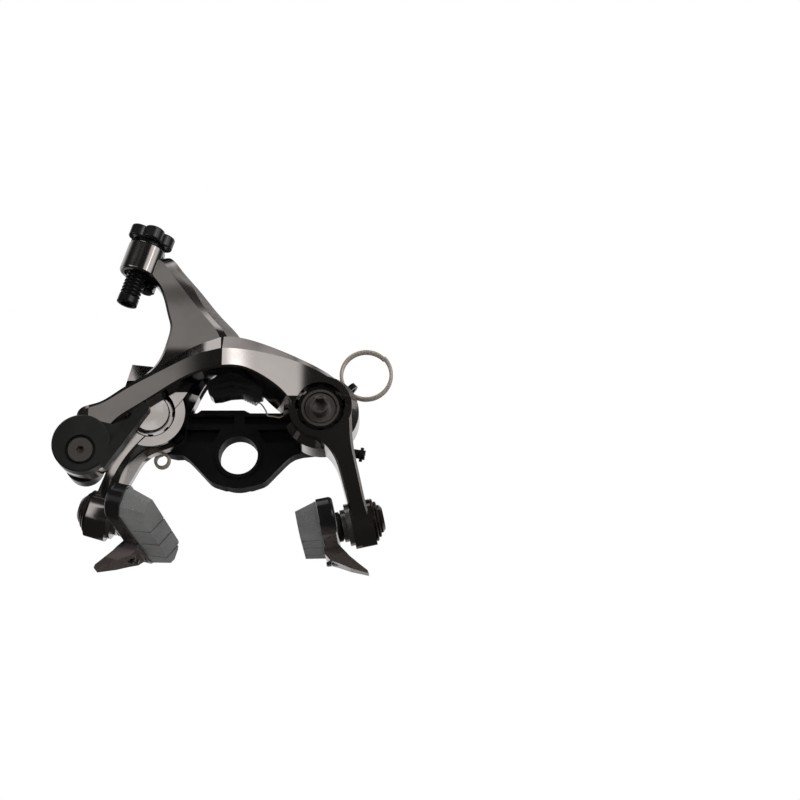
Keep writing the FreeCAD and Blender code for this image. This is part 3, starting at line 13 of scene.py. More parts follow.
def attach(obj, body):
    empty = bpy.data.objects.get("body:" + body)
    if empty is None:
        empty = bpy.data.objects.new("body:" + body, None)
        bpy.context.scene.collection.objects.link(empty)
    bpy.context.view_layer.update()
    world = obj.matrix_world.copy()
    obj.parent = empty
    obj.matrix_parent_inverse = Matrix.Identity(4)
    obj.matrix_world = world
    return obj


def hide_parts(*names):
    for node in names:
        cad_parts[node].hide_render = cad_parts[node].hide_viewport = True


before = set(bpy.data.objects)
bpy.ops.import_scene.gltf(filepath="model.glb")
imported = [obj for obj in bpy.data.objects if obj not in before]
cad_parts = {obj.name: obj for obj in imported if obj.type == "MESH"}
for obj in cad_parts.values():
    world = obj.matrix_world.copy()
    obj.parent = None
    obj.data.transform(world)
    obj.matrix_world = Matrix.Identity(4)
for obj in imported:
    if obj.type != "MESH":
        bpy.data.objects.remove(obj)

MILLIMETRE = 0.001

# The colour inputs and the colour output of a Mix node, by number
MIX_FIRST = 6
MIX_SECOND = 7
MIX_RESULT = 2

# What all finishes share: where a noise turns into drift or wear, and how much of the wear is fine
NOISE_ROUGHNESS = 0.55
DRIFT_SPAN = (0.42, 0.68)
WEAR_SPAN = (0.35, 0.65)
FINE_SHARE = 0.15
COAT_ROUGHNESS = 0.06

# Tests of a face's normal and of an edge, in the piece's own frame
FACING = 0.9
EDGE_RISE = 1.0
SMOOTH_BELOW = 50.0

# The pad's room in its holder, and how far a cutter stands out of what it cuts
PAD_GAP = 0.05
OVERHANG = 0.5

# Places in millimetres and angles in degrees, in the caliper's frame
RIGHT_BOSS = (41.6, -17.5, -36.2)
LEFT_BOSS = (-42.9, -17.5, -33.6)
ADJUSTER_MIDDLE = (-33.0, -19.0, 52.6)
ADJUSTER_LEAN = 16.3
ADJUSTER_NOD = 5.5
PIN_FOOT = (28.0, -15.0, 0.0)
PIN_ANGLE = 44.0
RING_REACH = 20.4

log = logging.getLogger("caliper")
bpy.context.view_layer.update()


class Body(Enum):
    """The moving bodies that the new pieces ride on."""

    RING = "ring"
    BARREL = "barrel"
    RIGHT_SHOE = "right_shoe"
    LEFT_SHOE = "left_shoe"


class Slot(Enum):
    """The material slots of the new pieces, as the part's record names them."""

    DARK_STEEL = "dark_steel"
    SPRING_WIRE = "spring_wire"
    PAD_RUBBER = "pad_rubber"


@dataclass(frozen=True)
class Wire:
    """One socket of a shader, on which sums are written as plain expressions.

    Attributes:
        bench: the nodes that it belongs to.
        socket: the output that it stands for.
    """

    bench: "Bench"
    socket: bpy.types.NodeSocket

    def _sum(self, operation: str, first: "Number", second: "Number") -> "Wire":
        """Add one Math node for an operation on two values."""
        node = self.bench.add("ShaderNodeMath", {"operation": operation}, {0: first, 1: second})
        return Wire(self.bench, node.outputs[0])

    def __add__(self, other: "Number") -> "Wire":
        """This value plus another."""
        return self._sum("ADD", self, other)

    def __radd__(self, other: "Number") -> "Wire":
        """Another value plus this one."""
        return self._sum("ADD", other, self)

    def __mul__(self, other: "Number") -> "Wire":
        """This value times another."""
        return self._sum("MULTIPLY", self, other)

    def __rmul__(self, other: "Number") -> "Wire":
        """Another value times this one."""
        return self._sum("MULTIPLY", other, self)

    def __neg__(self) -> "Wire":
        """This value the other way round."""
        return self * -1.0


Number = Union[Wire, float]
Colour = tuple[float, float, float]


class Bench:
    """The nodes of one material or of the world, with one way to add a node."""

    def __init__(self, tree: bpy.types.NodeTree) -> None:
        """Start on an empty tree.

        Args:
            tree: the node tree to work on.
        """
        self.tree = tree
        tree.nodes.clear()

    def add(self, kind: str, settings: dict | None = None, sockets: dict | None = None) -> bpy.types.Node:
        """Add a node.

        Args:
            kind: the node's type.
            settings: its settings, which are set first.
            sockets: values or wires for its inputs, by name or by number.

        Returns:
            The new node.
        """
        node = self.tree.nodes.new(kind)
        for name, value in (settings or {}).items():
            setattr(node, name, value)
        for name, value in (sockets or {}).items():
            self.feed(node.inputs[name], value)
        return node

    def feed(self, socket: bpy.types.NodeSocket, value: "Wire | float | Sequence[float]") -> None:
        """Give an input its value, or link a wire to it.

        Args:
            socket: the input.
            value: its value, or the wire that leads to it. A colour is full and needs no fourth number.
        """
        if isinstance(value, Wire):
            self.tree.links.new(value.socket, socket)
        elif hasattr(value, "__len__") and socket.type == "RGBA" and len(value) == 3:
            socket.default_value = (*value, 1.0)
        else:
            socket.default_value = value

    def wire(self, node: bpy.types.Node, output: "str | int" = 0) -> Wire:
        """One output of a node as a wire."""
        return Wire(self, node.outputs[output])

    def place(self) -> Wire:
        """The place on the piece, in metres."""
        return self.wire(self.add("ShaderNodeTexCoord"), "Object")

    def noise(self, scale: float, detail: float = 2.0) -> Wire:
        """Even noise.

        Args:
            scale: grains per metre.
            detail: finer steps laid over it.

        Returns:
            A wire from nothing to one.
        """
        sockets = {"Vector": self.place(), "Scale": scale, "Detail": detail, "Roughness": NOISE_ROUGHNESS}
        return self.wire(self.add("ShaderNodeTexNoise", {}, sockets))

    def mixed(self, factor: Number, first: "Wire | Colour", second: "Wire | Colour") -> Wire:
        """Mix two colours.

        Args:
            factor: how much of the second is in the mix.
            first: one colour.
            second: the other.

        Returns:
            The wire of the mixed colour.
        """
        sockets = {"Factor": factor, MIX_FIRST: first, MIX_SECOND: second}
        return self.wire(self.add("ShaderNodeMix", {"data_type": "RGBA"}, sockets), MIX_RESULT)

    def span(self, value: Wire, low: float, high: float, first: float, second: float) -> Wire:
        """Carry a value smoothly from one span to another.

        Args:
            value: the value.
            low: where its span begins.
            high: where its span ends.
            first: what it becomes at the beginning.
            second: what it becomes at the end.

        Returns:
            The wire of the carried value.
        """
        sockets = {"Value": value, "From Min": low, "From Max": high, "To Min": first, "To Max": second}
        return self.wire(self.add("ShaderNodeMapRange", {"interpolation_type": "SMOOTHSTEP"}, sockets))

    def ramp(self, value: Wire, low: float, high: float) -> Wire:
        """How far a value has come from one place to another, from nothing to one."""
        sockets = {"Value": value, "From Min": low, "From Max": high}
        return self.wire(self.add("ShaderNodeMapRange", {}, sockets))

    def bump(self, height: Wire, depth: float, under: Wire | None = None) -> Wire:
        """A normal from a height.

        Args:
            height: the height, in steps of the depth.
            depth: how deep one step is, in metres.
            under: the normal that it is laid over, if not the surface's own.

        Returns:
            The wire for a shader's Normal.
        """
        sockets = {"Height": height, "Distance": depth}
        if under is not None:
            sockets["Normal"] = under
        return self.wire(self.add("ShaderNodeBump", {}, sockets))


@dataclass(frozen=True)
class Finish:
    """A surface finish: two shades that drift into each other, a sheen and a grain.

    Attributes:
        name: the finish in a maker's words.
        shade: its colour.
        drift: the second colour, where the first has changed with use.
        metallic: one for bare or anodised metal.
        roughness: the smoothest and the roughest that it gets.
        grain: grains per metre of the fine texture.
        depth: depth of the fine texture, in metres.
        coat: weight of a clear coat.
        patches: patches per metre of the slow drift.
        specular: how strongly a bare surface mirrors.
    """

    name: str
    shade: Colour
    drift: Colour
    metallic: float
    roughness: tuple[float, float]
    grain: float
    depth: float
    coat: float = 0.0
    patches: float = 60.0
    specular: float = 0.5

    def material(self) -> bpy.types.Material:
        """Make the material of this finish, or find it if it is made already.

        Returns:
            The material.
        """
        made = bpy.data.materials.get(self.name)
        if made is not None:
            return made
        made = bpy.data.materials.new(self.name)
        made.use_nodes = True
        bench = Bench(made.node_tree)
        slow = bench.noise(self.patches, 3.0)
        fine = bench.noise(self.grain)
        drift = bench.span(slow, *DRIFT_SPAN, 0.0, 1.0)
        wear = slow * (1.0 - FINE_SHARE) + fine * FINE_SHARE
        sockets = {
            "Base Color": self.colour(bench, drift),
            "Metallic": self.metallic,
            "Roughness": bench.span(wear, *WEAR_SPAN, *self.roughness),
            "Coat Weight": self.coat,
            "Coat Roughness": COAT_ROUGHNESS,
            "Specular IOR Level": self.specular,
            "Normal": self.normal(bench, fine),
        }
        shader = bench.add("ShaderNodeBsdfPrincipled", {}, sockets)
        bench.add("ShaderNodeOutputMaterial", {}, {"Surface": bench.wire(shader)})
        return made

    def colour(self, bench: Bench, drift: Wire) -> Wire:
        """The colour all over the surface."""
        return bench.mixed(drift, self.shade, self.drift)

    def normal(self, bench: Bench, fine: Wire) -> Wire:
        """The surface's normal, with the fine texture."""
        return bench.bump(fine, self.depth)


@dataclass(frozen=True)
class Dome:
    """A stretch over which a face is gently domed.

    Attributes:
        axis: the axis that it runs along.
        start: where it begins, in millimetres.
        end: where it ends.
        first: the face's slope at its start.
        last: the slope at its end.
        fade: an axis, where the dome starts along it and where it is full, if it isn't full everywhere.
    """

    axis: str
    start: float
    end: float
    first: float
    last: float
    fade: tuple[str, float, float] | None = None

    def height(self, axes: bpy.types.Node, bench: Bench) -> Wire:
        """Work out its height above the flat face.

        Args:
            axes: the node that gives the place along each axis, in metres.
            bench: the material's nodes.

        Returns:
            The wire of the height, in metres.
        """
        length = (self.end - self.start) * MILLIMETRE
        share = bench.ramp(bench.wire(axes, self.axis), self.start * MILLIMETRE, self.end * MILLIMETRE)
        height = share * (length * self.first) + share * share * (length * (self.last - self.first) / 2)
        if self.fade is None:
            return height
        across, low, high = self.fade
        return height * bench.ramp(bench.wire(axes, across), low * MILLIMETRE, high * MILLIMETRE)


@dataclass(frozen=True)
class DomedMetal(Finish):
    """Polished metal with gently domed faces, along which its reflections run out.

    Attributes:
        domes: the stretches that are domed.
    """

    domes: tuple[Dome, ...] = ()

    def normal(self, bench: Bench, fine: Wire) -> Wire:
        """Lay the fine texture over the domes.

        Args:
            bench: the material's nodes.
            fine: the fine texture.

        Returns:
            The wire of the normal.
        """
        axes = bench.add("ShaderNodeSeparateXYZ", {}, {"Vector": bench.place()})
        heights = [dome.height(axes, bench) for dome in self.domes]
        return bench.bump(fine, self.depth, bench.bump(sum(heights[1:], heights[0]), 1.0))


@dataclass(frozen=True)
class FinsWithPaintedHighlight(Finish):
    """Black alloy whose low guide fins are painted a lighter brown: their brownish metal with a painted
    highlight.

    Attributes:
        fin_brown_and_highlight: the fins' colour, their brownish metal lightened as a painted highlight.
        low: where the fins are wholly brown, in millimetres.
        high: where the black begins.
    """

    # The fins' brown is lighter than their metal alone: it is a painted highlight.
    fin_brown_and_highlight: Colour = (0.16, 0.13, 0.12)
    low: float = -46.0
    high: float = -42.0

    def colour(self, bench: Bench, drift: Wire) -> Wire:
        """Paint the fins a lighter brown, their metal with a painted highlight, and leave what is above them
        black.

        Args:
            bench: the material's nodes.
            drift: how far the first colour has changed into the second.

        Returns:
            The wire of the colour.
        """
        # Below the black, the fins get their brown with a painted highlight in it.
        axes = bench.add("ShaderNodeSeparateXYZ", {}, {"Vector": bench.place()})
        black = bench.ramp(bench.wire(axes, "Z"), self.low * MILLIMETRE, self.high * MILLIMETRE)
        return bench.mixed(black, self.fin_brown_and_highlight, bench.mixed(drift, self.shade, self.drift))


@dataclass(frozen=True)
class SpeckledRubber(Finish):
    """Moulded rubber with pale dust in its pores.

    Attributes:
        speckle: the dust's colour.
        pores: pores per metre.
        pale: the span of the noise over which dust comes in.
        share: how much of the rubber the dust hides.
    """

    speckle: Colour = (0.33, 0.33, 0.34)
    pores: float = 2600.0
    pale: tuple[float, float] = (0.60, 0.74)
    share: float = 0.75

    def colour(self, bench: Bench, drift: Wire) -> Wire:
        """Scatter pale grains over the rubber.

        Args:
            bench: the material's nodes.
            drift: how far the first colour has changed into the second.

        Returns:
            The wire of the colour.
        """
        base = bench.mixed(drift, self.shade, self.drift)
        grains = bench.span(bench.noise(self.pores, 1.0), *self.pale, 0.0, self.share)
        return bench.mixed(grains, base, self.speckle)


# Shade, drift, metallic, roughness, grain, depth, coat and patches of both arms
ARM_SHADES = ((0.46, 0.43, 0.41), (0.42, 0.39, 0.37), 1.0, (0.11, 0.19), 1400.0, 0.0000006, 0.0, 45.0)
ARCH_METAL = DomedMetal("polished_arch_metal", *ARM_SHADES, domes=(
    Dome("X", -47.0, -20.0, 0.15, 0.13), Dome("X", -20.0, -8.0, 0.13, 0.02),
    Dome("X", -4.1, 2.0, -0.48, -0.38, ("Z", 0.5, 3.5)), Dome("X", 2.0, 7.0, -0.38, -0.28, ("Z", 0.5, 3.5)),
    Dome("X", 7.0, 20.0, -0.28, -0.24, ("Z", 0.5, 3.5)),
    Dome("X", 20.0, 26.0, -0.24, 0.0, ("Z", 0.5, 3.5)),
))
CABLE_ARM_METAL = DomedMetal("polished_cable_arm_metal", *ARM_SHADES, domes=(
    Dome("X", -44.0, -2.0, 0.19, 0.17, ("Z", 7.0, 13.0)), Dome("Z", 8.0, 19.0, -0.20, -0.20),
    Dome("Z", 19.0, 24.0, -0.20, 0.0), Dome("Z", 8.0, 25.0, -0.30, -0.30, ("Y", -18.0, -14.0)),
    Dome("X", -44.0, -2.0, -0.14, -0.12, ("Y", -18.0, -14.0)),
    Dome("X", -60.0, -10.0, -0.32, -0.28, ("Z", 13.0, 7.0)),
))
PIVOT_METAL = DomedMetal("bright_pivot_metal", (0.50, 0.48, 0.46), (0.44, 0.41, 0.38), 1.0, (0.18, 0.26),
                         1400.0, 0.0000006, 0.0, 120.0, domes=(Dome("X", -40.0, -16.0, -0.33, -0.31),))
BRUSHED_STEEL = Finish("brushed_bolt_steel", (0.44, 0.40, 0.38), (0.36, 0.33, 0.31), 1.0, (0.34, 0.46),
                       1800.0, 0.000001)
DARK_STEEL = Finish("dark_plated_steel", (0.20, 0.17, 0.16), (0.16, 0.14, 0.13), 1.0, (0.18, 0.30),
                    1800.0, 0.000001)
BLACK_METAL = Finish("black_plated_steel", (0.022, 0.021, 0.021), (0.030, 0.028, 0.027), 0.7, (0.20, 0.34),
                     1800.0, 0.000001, 0.3)
BUSH = Finish("satin_bush_alloy", (0.22, 0.19, 0.18), (0.18, 0.155, 0.145), 1.0, (0.20, 0.34),
              1600.0, 0.000001)
MATT_RESIN = Finish("matt_moulded_resin", (0.006, 0.006, 0.006), (0.009, 0.009, 0.009), 0.0, (0.42, 0.58),
                    1500.0, 0.000006, specular=0.28)
HUB_RESIN = Finish("satin_lever_resin", (0.016, 0.016, 0.015), (0.020, 0.020, 0.019), 0.0, (0.30, 0.42),
                   1400.0, 0.000004, specular=0.40)
GLOSS_RESIN = Finish("gloss_moulded_resin", (0.012, 0.012, 0.012), (0.015, 0.015, 0.015), 0.0, (0.14, 0.24),
                     900.0, 0.000001, 0.4)
# The holder's fins carry a painted highlight: they are coloured a lighter brown below the black.
HOLDER = FinsWithPaintedHighlight("black_gloss_alloy", (0.020, 0.019, 0.019), (0.026, 0.024, 0.023), 0.5, (0.12, 0.22),
                  1100.0, 0.0000008, 0.5)
SILVER = Finish("bright_alloy", (0.80, 0.79, 0.78), (0.72, 0.70, 0.68), 1.0, (0.22, 0.34), 2000.0, 0.0000008)
WIRE_STEEL = Finish("spring_wire_steel", (0.62, 0.55, 0.47), (0.54, 0.47, 0.40), 0.5, (0.30, 0.42),
                    1600.0, 0.0000008)
RUBBER = SpeckledRubber("moulded_pad_rubber", (0.15, 0.15, 0.147), (0.18, 0.18, 0.176), 0.0, (0.62, 0.85),
                        1900.0, 0.00001, specular=0.3)

NODE_FINISH: dict[Finish, tuple[str, ...]] = {
    ARCH_METAL: ("arch_arm",),
    CABLE_ARM_METAL: ("cable_arm",),
    PIVOT_METAL: ("left_pivot_cap", "left_pivot_sleeve", "left_ring_nut"),
    DARK_STEEL: ("left_mounting_bolt", "right_shoe_bolt", "left_shoe_bolt"),
    BRUSHED_STEEL: ("right_mounting_bolt", "cable_bolt", "right_pivot_sleeve"),
    BLACK_METAL: ("right_ring_nut", "centering_screw", "stopper_pin", "cable_clamp", "thrust_washers",
                  "adjuster_barrel", "adjuster_insert", "adjuster_spring_washer", "right_shoe_nut",
                  "left_shoe_nut", "right_ball_washer", "left_ball_washer", "right_pad_screw",
                  "left_pad_screw"),
    BUSH: ("arch_arm_bush", "cable_arm_bush", "right_outer_washers", "left_outer_washers"),
    MATT_RESIN: ("fixing_plate", "spring_seat", "click_plug"),
    HUB_RESIN: ("quick_release_lever",),
    GLOSS_RESIN: ("adjuster_knob", "spring_cover"),
    HOLDER: ("right_shoe_holder", "left_shoe_holder"),
    SILVER: ("right_inner_washer", "left_inner_washer", "right_cup_washer", "left_cup_washer"),
    WIRE_STEEL: ("return_spring", "helper_spring", "pull_ring"),
    RUBBER: ("right_brake_pad", "left_brake_pad"),
}


def dress(node: str, finish: Finish) -> None:
    """Give a node of the frame its finish.

    Args:
        node: the node's name.
        finish: what it is dressed in.
    """
    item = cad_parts[node]
    item.data.materials.clear()
    item.data.materials.append(finish.material())
    log.info("%s in %s", node, finish.name)


def begin() -> None:
    """Let go of everything, so that the next operator acts on the new piece alone."""
    if bpy.context.object is not None and bpy.context.object.mode != "OBJECT":
        bpy.ops.object.mode_set(mode="OBJECT")
    bpy.ops.object.select_all(action="DESELECT")


def choose(item: bpy.types.Object) -> None:
    """Select one piece and make it the active one.

    Args:
        item: the piece.
    """
    begin()
    item.select_set(True)
    bpy.context.view_layer.objects.active = item


def block(name: str, extent: Vector, middle: Vector, turn: Vector = Vector()) -> bpy.types.Object:
    """Add a block.

    Args:
        name: the piece's name.
        extent: its size along its own axes, in millimetres.
        middle: where its middle is.
        turn: its turn about the axes, in radians.

    Returns:
        The block, with its size in its mesh.
    """
    begin()
    bpy.ops.mesh.primitive_cube_add(size=1.0, location=middle, rotation=turn)
    item = bpy.context.object
    item.name = name
    bpy.ops.object.mode_set(mode="EDIT")
    bpy.ops.mesh.select_all(action="SELECT")
    bpy.ops.transform.resize(value=extent, orient_type="LOCAL")
    bpy.ops.object.mode_set(mode="OBJECT")
    return item


def drum(name: str, radius: float, low: float, high: float, sides: int) -> bpy.types.Object:
    """Add a drum about the upright axis.

    Args:
        name: the piece's name.
        radius: its radius, in millimetres.
        low: height of its lower end.
        high: height of its upper end.
        sides: how many flat sides stand for its round one.

    Returns:
        The drum, with its size and place in its mesh.
    """
    begin()
    middle = Vector((0.0, 0.0, (low + high) / 2))
    bpy.ops.mesh.primitive_cylinder_add(vertices=sides, radius=radius, depth=high - low, location=middle)
    item = bpy.context.object
    item.name = name
    settle(item)
    return item


def settle(item: bpy.types.Object, place: Matrix | None = None) -> None:
    """Carry a piece's place into its mesh.

    Args:
        item: the piece.
        place: where the mesh then goes, if it goes anywhere. A mirrored place keeps its faces outwards.
    """
    choose(item)
    bpy.ops.object.transform_apply(location=True, rotation=True, scale=True)
    if place is not None:
        item.data.transform(place)
        if place.is_negative:
            item.data.flip_normals()


def pick_faces(item: bpy.types.Object, wanted: Callable[[bpy.types.MeshPolygon], bool]) -> None:
    """Select the faces that a test picks, and go into edit mode on them.

    Args:
        item: the piece.
        wanted: the test of a face.
    """
    choose(item)
    bpy.ops.object.mode_set(mode="EDIT")
    bpy.ops.mesh.select_mode(type="FACE")
    bpy.ops.mesh.select_all(action="DESELECT")
    bpy.ops.object.mode_set(mode="OBJECT")
    for face in item.data.polygons:
        face.select = wanted(face)
    bpy.ops.object.mode_set(mode="EDIT")


def pick_edges(item: bpy.types.Object, wanted: Callable[[Vector, Vector], bool]) -> None:
    """Select the edges whose two ends pass a test, and go into edit mode on them.

    Args:
        item: the piece.
        wanted: the test of an edge's two ends.
    """
    choose(item)
    bpy.ops.object.mode_set(mode="EDIT")
    bpy.ops.mesh.select_mode(type="EDGE")
    bpy.ops.mesh.select_all(action="DESELECT")
    bpy.ops.object.mode_set(mode="OBJECT")
    points = item.data.vertices
    for edge in item.data.edges:
        edge.select = wanted(points[edge.vertices[0]].co, points[edge.vertices[1]].co)
    bpy.ops.object.mode_set(mode="EDIT")


def apply_modifier(item: bpy.types.Object, kind: str, **settings: object) -> None:
    """Add a modifier and apply it.

    Args:
        item: the piece.
        kind: the modifier's type.
        **settings: its settings.
    """
    choose(item)
    modifier = item.modifiers.new(kind.title(), kind)
    for name, value in settings.items():
        setattr(modifier, name, value)
    bpy.ops.object.modifier_apply(modifier=modifier.name)


def carve(item: bpy.types.Object, cutters: Iterable[bpy.types.Object]) -> None:
    """Cut each cutter out of a piece and throw the cutter away.

    Args:
        item: the piece.
        cutters: what is cut out of it.
    """
    for cutter in cutters:
        apply_modifier(item, "BOOLEAN", operation="DIFFERENCE", object=cutter, solver="EXACT")
        bpy.data.objects.remove(cutter, do_unlink=True)


def soften(item: bpy.types.Object, width: float, angle: float) -> None:
    """Round a piece's sharp edges and shade it smooth between them.

    Args:
        item: the piece.
        width: how far the rounding reaches from the edge.
        angle: from what angle on an edge is sharp, in degrees.
    """
    apply_modifier(item, "BEVEL", width=width, segments=2, limit_method="ANGLE",
                   angle_limit=math.radians(angle), harden_normals=False)
    choose(item)
    bpy.ops.object.shade_smooth_by_angle(angle=math.radians(angle))


def stand_for(item: bpy.types.Object, body: Body, slot: Slot, finish: Finish, *nodes: str) -> None:
    """Finish a new piece.

    Args:
        item: the piece.
        body: the body that it rides on.
        slot: its material slot, which is not used.
        finish: what it is dressed in.
        *nodes: the nodes that it stands for.
    """
    item.data.materials.clear()
    item.data.materials.append(finish.material())
    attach(item, body.value)
    if nodes:
        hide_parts(*nodes)
    log.info("%s on %s, %d faces", item.name, body.value, len(item.data.polygons))


@dataclass
class Shoe:
    """One brake shoe: its own frame has X along the shoe, Y down and Z towards the rim.

    Attributes:
        side: which side of the wheel it is on.
        bolt: middle of the arm's boss, in millimetres.
        tilt: slope of the shoe bolt, in degrees.
        turn: swivel about the bolt, in degrees.
        toe: lean in the round seat, in degrees.
        seat_centre: middle of the round seat, from the boss's middle towards the rim.
        holder_face: the holder's front from the same place.
        pad_length: length of the pad's foot.
        pad_foot_half: half of the height of the foot.
        pad_face_half: half of the height of the braking face.
        pad_thick: the pad's thickness.
        near_slope: how far the near end slopes in.
        far_slope: how far the far end slopes in.
        corner: the cut corners.
        groove_first: where the first groove begins along the shoe.
        groove_step: from one groove to the next.
        groove_slant: how far a groove runs along the shoe while it crosses the face.
        groove_width: width of a groove.
        groove_depth: depth of a groove.
        groove_share: how much of the pad's thickness a groove cuts on its sides.
        groove_flank: how far the cutter on a side reaches across it.
        grooves: how many grooves there are.
        rounding: how far the rounding reaches from an edge.
        sharp: from what angle on an edge is rounded, in degrees.
    """

    side: str
    bolt: Vector
    tilt: float
    turn: float
    toe: float
    seat_centre: float = 13.3
    holder_face: float = 13.4
    pad_length: float = 46.6
    pad_foot_half: float = 5.0
    pad_face_half: float = 4.0
    pad_thick: float = 7.0
    near_slope: float = 4.1
    far_slope: float = 1.5
    corner: float = 2.2
    groove_first: float = -8.0
    groove_step: float = 11.2
    groove_slant: float = 7.0
    groove_width: float = 0.7
    groove_depth: float = 0.9
    groove_share: float = 0.84
    groove_flank: float = 1.4
    grooves: int = 3
    rounding: float = 0.22
    sharp: float = 25.0

    def place(self) -> Matrix:
        """Find where the shoe's own frame stands in the caliper's.

        Returns:
            The matrix from the shoe's millimetres to the caliper's metres.
        """
        way = -1.0 if self.side == "right" else 1.0
        tilt = math.radians(self.tilt)
        inward = Vector((way * math.cos(tilt), 0.0, -math.sin(tilt)))
        along = Vector((0.0, 1.0, 0.0))
        third = inward.cross(along)
        frame_of_bolt = Matrix((
            (along.x, third.x, inward.x, self.bolt.x),
            (along.y, third.y, inward.y, self.bolt.y),
            (along.z, third.z, inward.z, self.bolt.z),
            (0.0, 0.0, 0.0, 1.0),
        ))
        swivel = Matrix.Rotation(math.radians(self.turn), 4, "Z")
        lean = Matrix.Rotation(math.radians(-self.toe), 4, "Y")
        centre = Vector((0.0, 0.0, self.seat_centre))
        tilted = Matrix.Translation(centre) @ swivel @ lean @ Matrix.Translation(-centre)
        placed = frame_of_bolt @ tilted
        if self.side == "left":
            placed = placed @ Matrix.Diagonal((1.0, -1.0, 1.0, 1.0))
        return Matrix.Scale(MILLIMETRE, 4) @ placed

    def body(self) -> Body:
        """The body that the shoe rides on."""
        return Body.RIGHT_SHOE if self.side == "right" else Body.LEFT_SHOE

    def build(self) -> None:
        """Make the rubber pad: a tapered block with cut corners, slanted grooves and a foot in the holder."""
        low = self.holder_face + PAD_GAP
        high = self.holder_face + self.pad_thick
        pad = block(f"{self.side}_rubber_pad", Vector((self.pad_length, 2 * self.pad_foot_half, high - low)),
                    Vector((0.0, 0.0, (low + high) / 2)))
        settle(pad)
        pick_faces(pad, lambda face: face.normal.z > FACING)
        near = self.near_slope
        far = self.far_slope
        shorter = (self.pad_length - near - far) / self.pad_length
        bpy.ops.transform.resize(value=(shorter, self.pad_face_half / self.pad_foot_half, 1.0))
        bpy.ops.transform.translate(value=((near - far) / 2, 0.0, 0.0))
        pick_edges(pad, lambda one, two: abs(one.z - two.z) > EDGE_RISE)
        bpy.ops.mesh.bevel(offset=self.corner, segments=1)
        bpy.ops.object.mode_set(mode="OBJECT")
        carve(pad, self.groove_cutters(high))
        soften(pad, self.rounding, self.sharp)
        settle(pad, self.place())
        stand_for(pad, self.body(), Slot.PAD_RUBBER, RUBBER, f"{self.side}_brake_pad")

    def groove_cutters(self, face: float) -> list[bpy.types.Object]:
        """Make slabs for the grooves, which slant across the braking face and run straight down its sides.

        Args:
            face: height of the braking face.

        Returns:
            The slabs.
        """
        cutters = []
        edge = self.pad_face_half
        run = math.hypot(self.groove_slant, 2 * edge)
        slope = math.atan2(self.groove_slant, 2 * edge)
        lean = math.atan2(self.pad_foot_half - edge, self.pad_thick)
        deep = self.pad_thick * self.groove_share
        for number in range(self.grooves):
            start = self.groove_first + self.groove_step * number
            middle = Vector((start + self.groove_slant / 2, 0.0, face))
            extent = Vector((self.groove_width, run + 2 * OVERHANG, 2 * self.groove_depth))
            cutters.append(block("cutter", extent, middle, Vector((0.0, 0.0, slope))))
            for end, along in ((1.0, start), (-1.0, start + self.groove_slant)):
                side = Vector((along, end * (edge + OVERHANG), face - deep / 2))
                extent = Vector((self.groove_width, self.groove_flank, deep))
                cutters.append(block("cutter", extent, side, Vector((end * lean, 0.0, 0.0))))
        return cutters


@dataclass
class SplitRing:
    """The ring of flat-wound wire on the stopper pin.

    Attributes:
        centre: its middle, in millimetres.
        way: direction that leads away from the pin.
        radius: middle radius of the wire.
        wire: radius of the wire.
        pitch: from one turn to the next.
        turns: how many turns there are.
        sides: sides of the wire's round section.
        steps: steps of one turn.
    """

    centre: Vector
    way: Vector
    radius: float
    wire: float
    pitch: float
    turns: float
    sides: int = 20
    steps: int = 72

    def build(self) -> None:
        """Sweep the wire's round section along the turns."""
        begin()
        rise = self.pitch * self.turns
        steps = round(self.steps * self.turns)
        bpy.ops.mesh.primitive_circle_add(vertices=self.sides, radius=self.wire, fill_type="NGON",
                                          location=(self.radius, 0.0, -rise / 2),
                                          rotation=(math.pi / 2, 0.0, 0.0))
        ring = bpy.context.object
        ring.name = "split_ring"
        settle(ring)
        apply_modifier(ring, "SCREW", angle=math.tau * self.turns, screw_offset=rise, axis="Z", steps=steps,
                       render_steps=steps, use_merge_vertices=True, use_normal_calculate=True)
        choose(ring)
        bpy.ops.object.shade_smooth_by_angle(angle=math.radians(SMOOTH_BELOW))
        axis = Vector((0.0, -1.0, 0.0))
        turn = Matrix((self.way, axis.cross(self.way), axis)).transposed().to_4x4()
        settle(ring, Matrix.Scale(MILLIMETRE, 4) @ Matrix.Translation(self.centre) @ turn)
        stand_for(ring, Body.RING, Slot.SPRING_WIRE, WIRE_STEEL, "pull_ring")


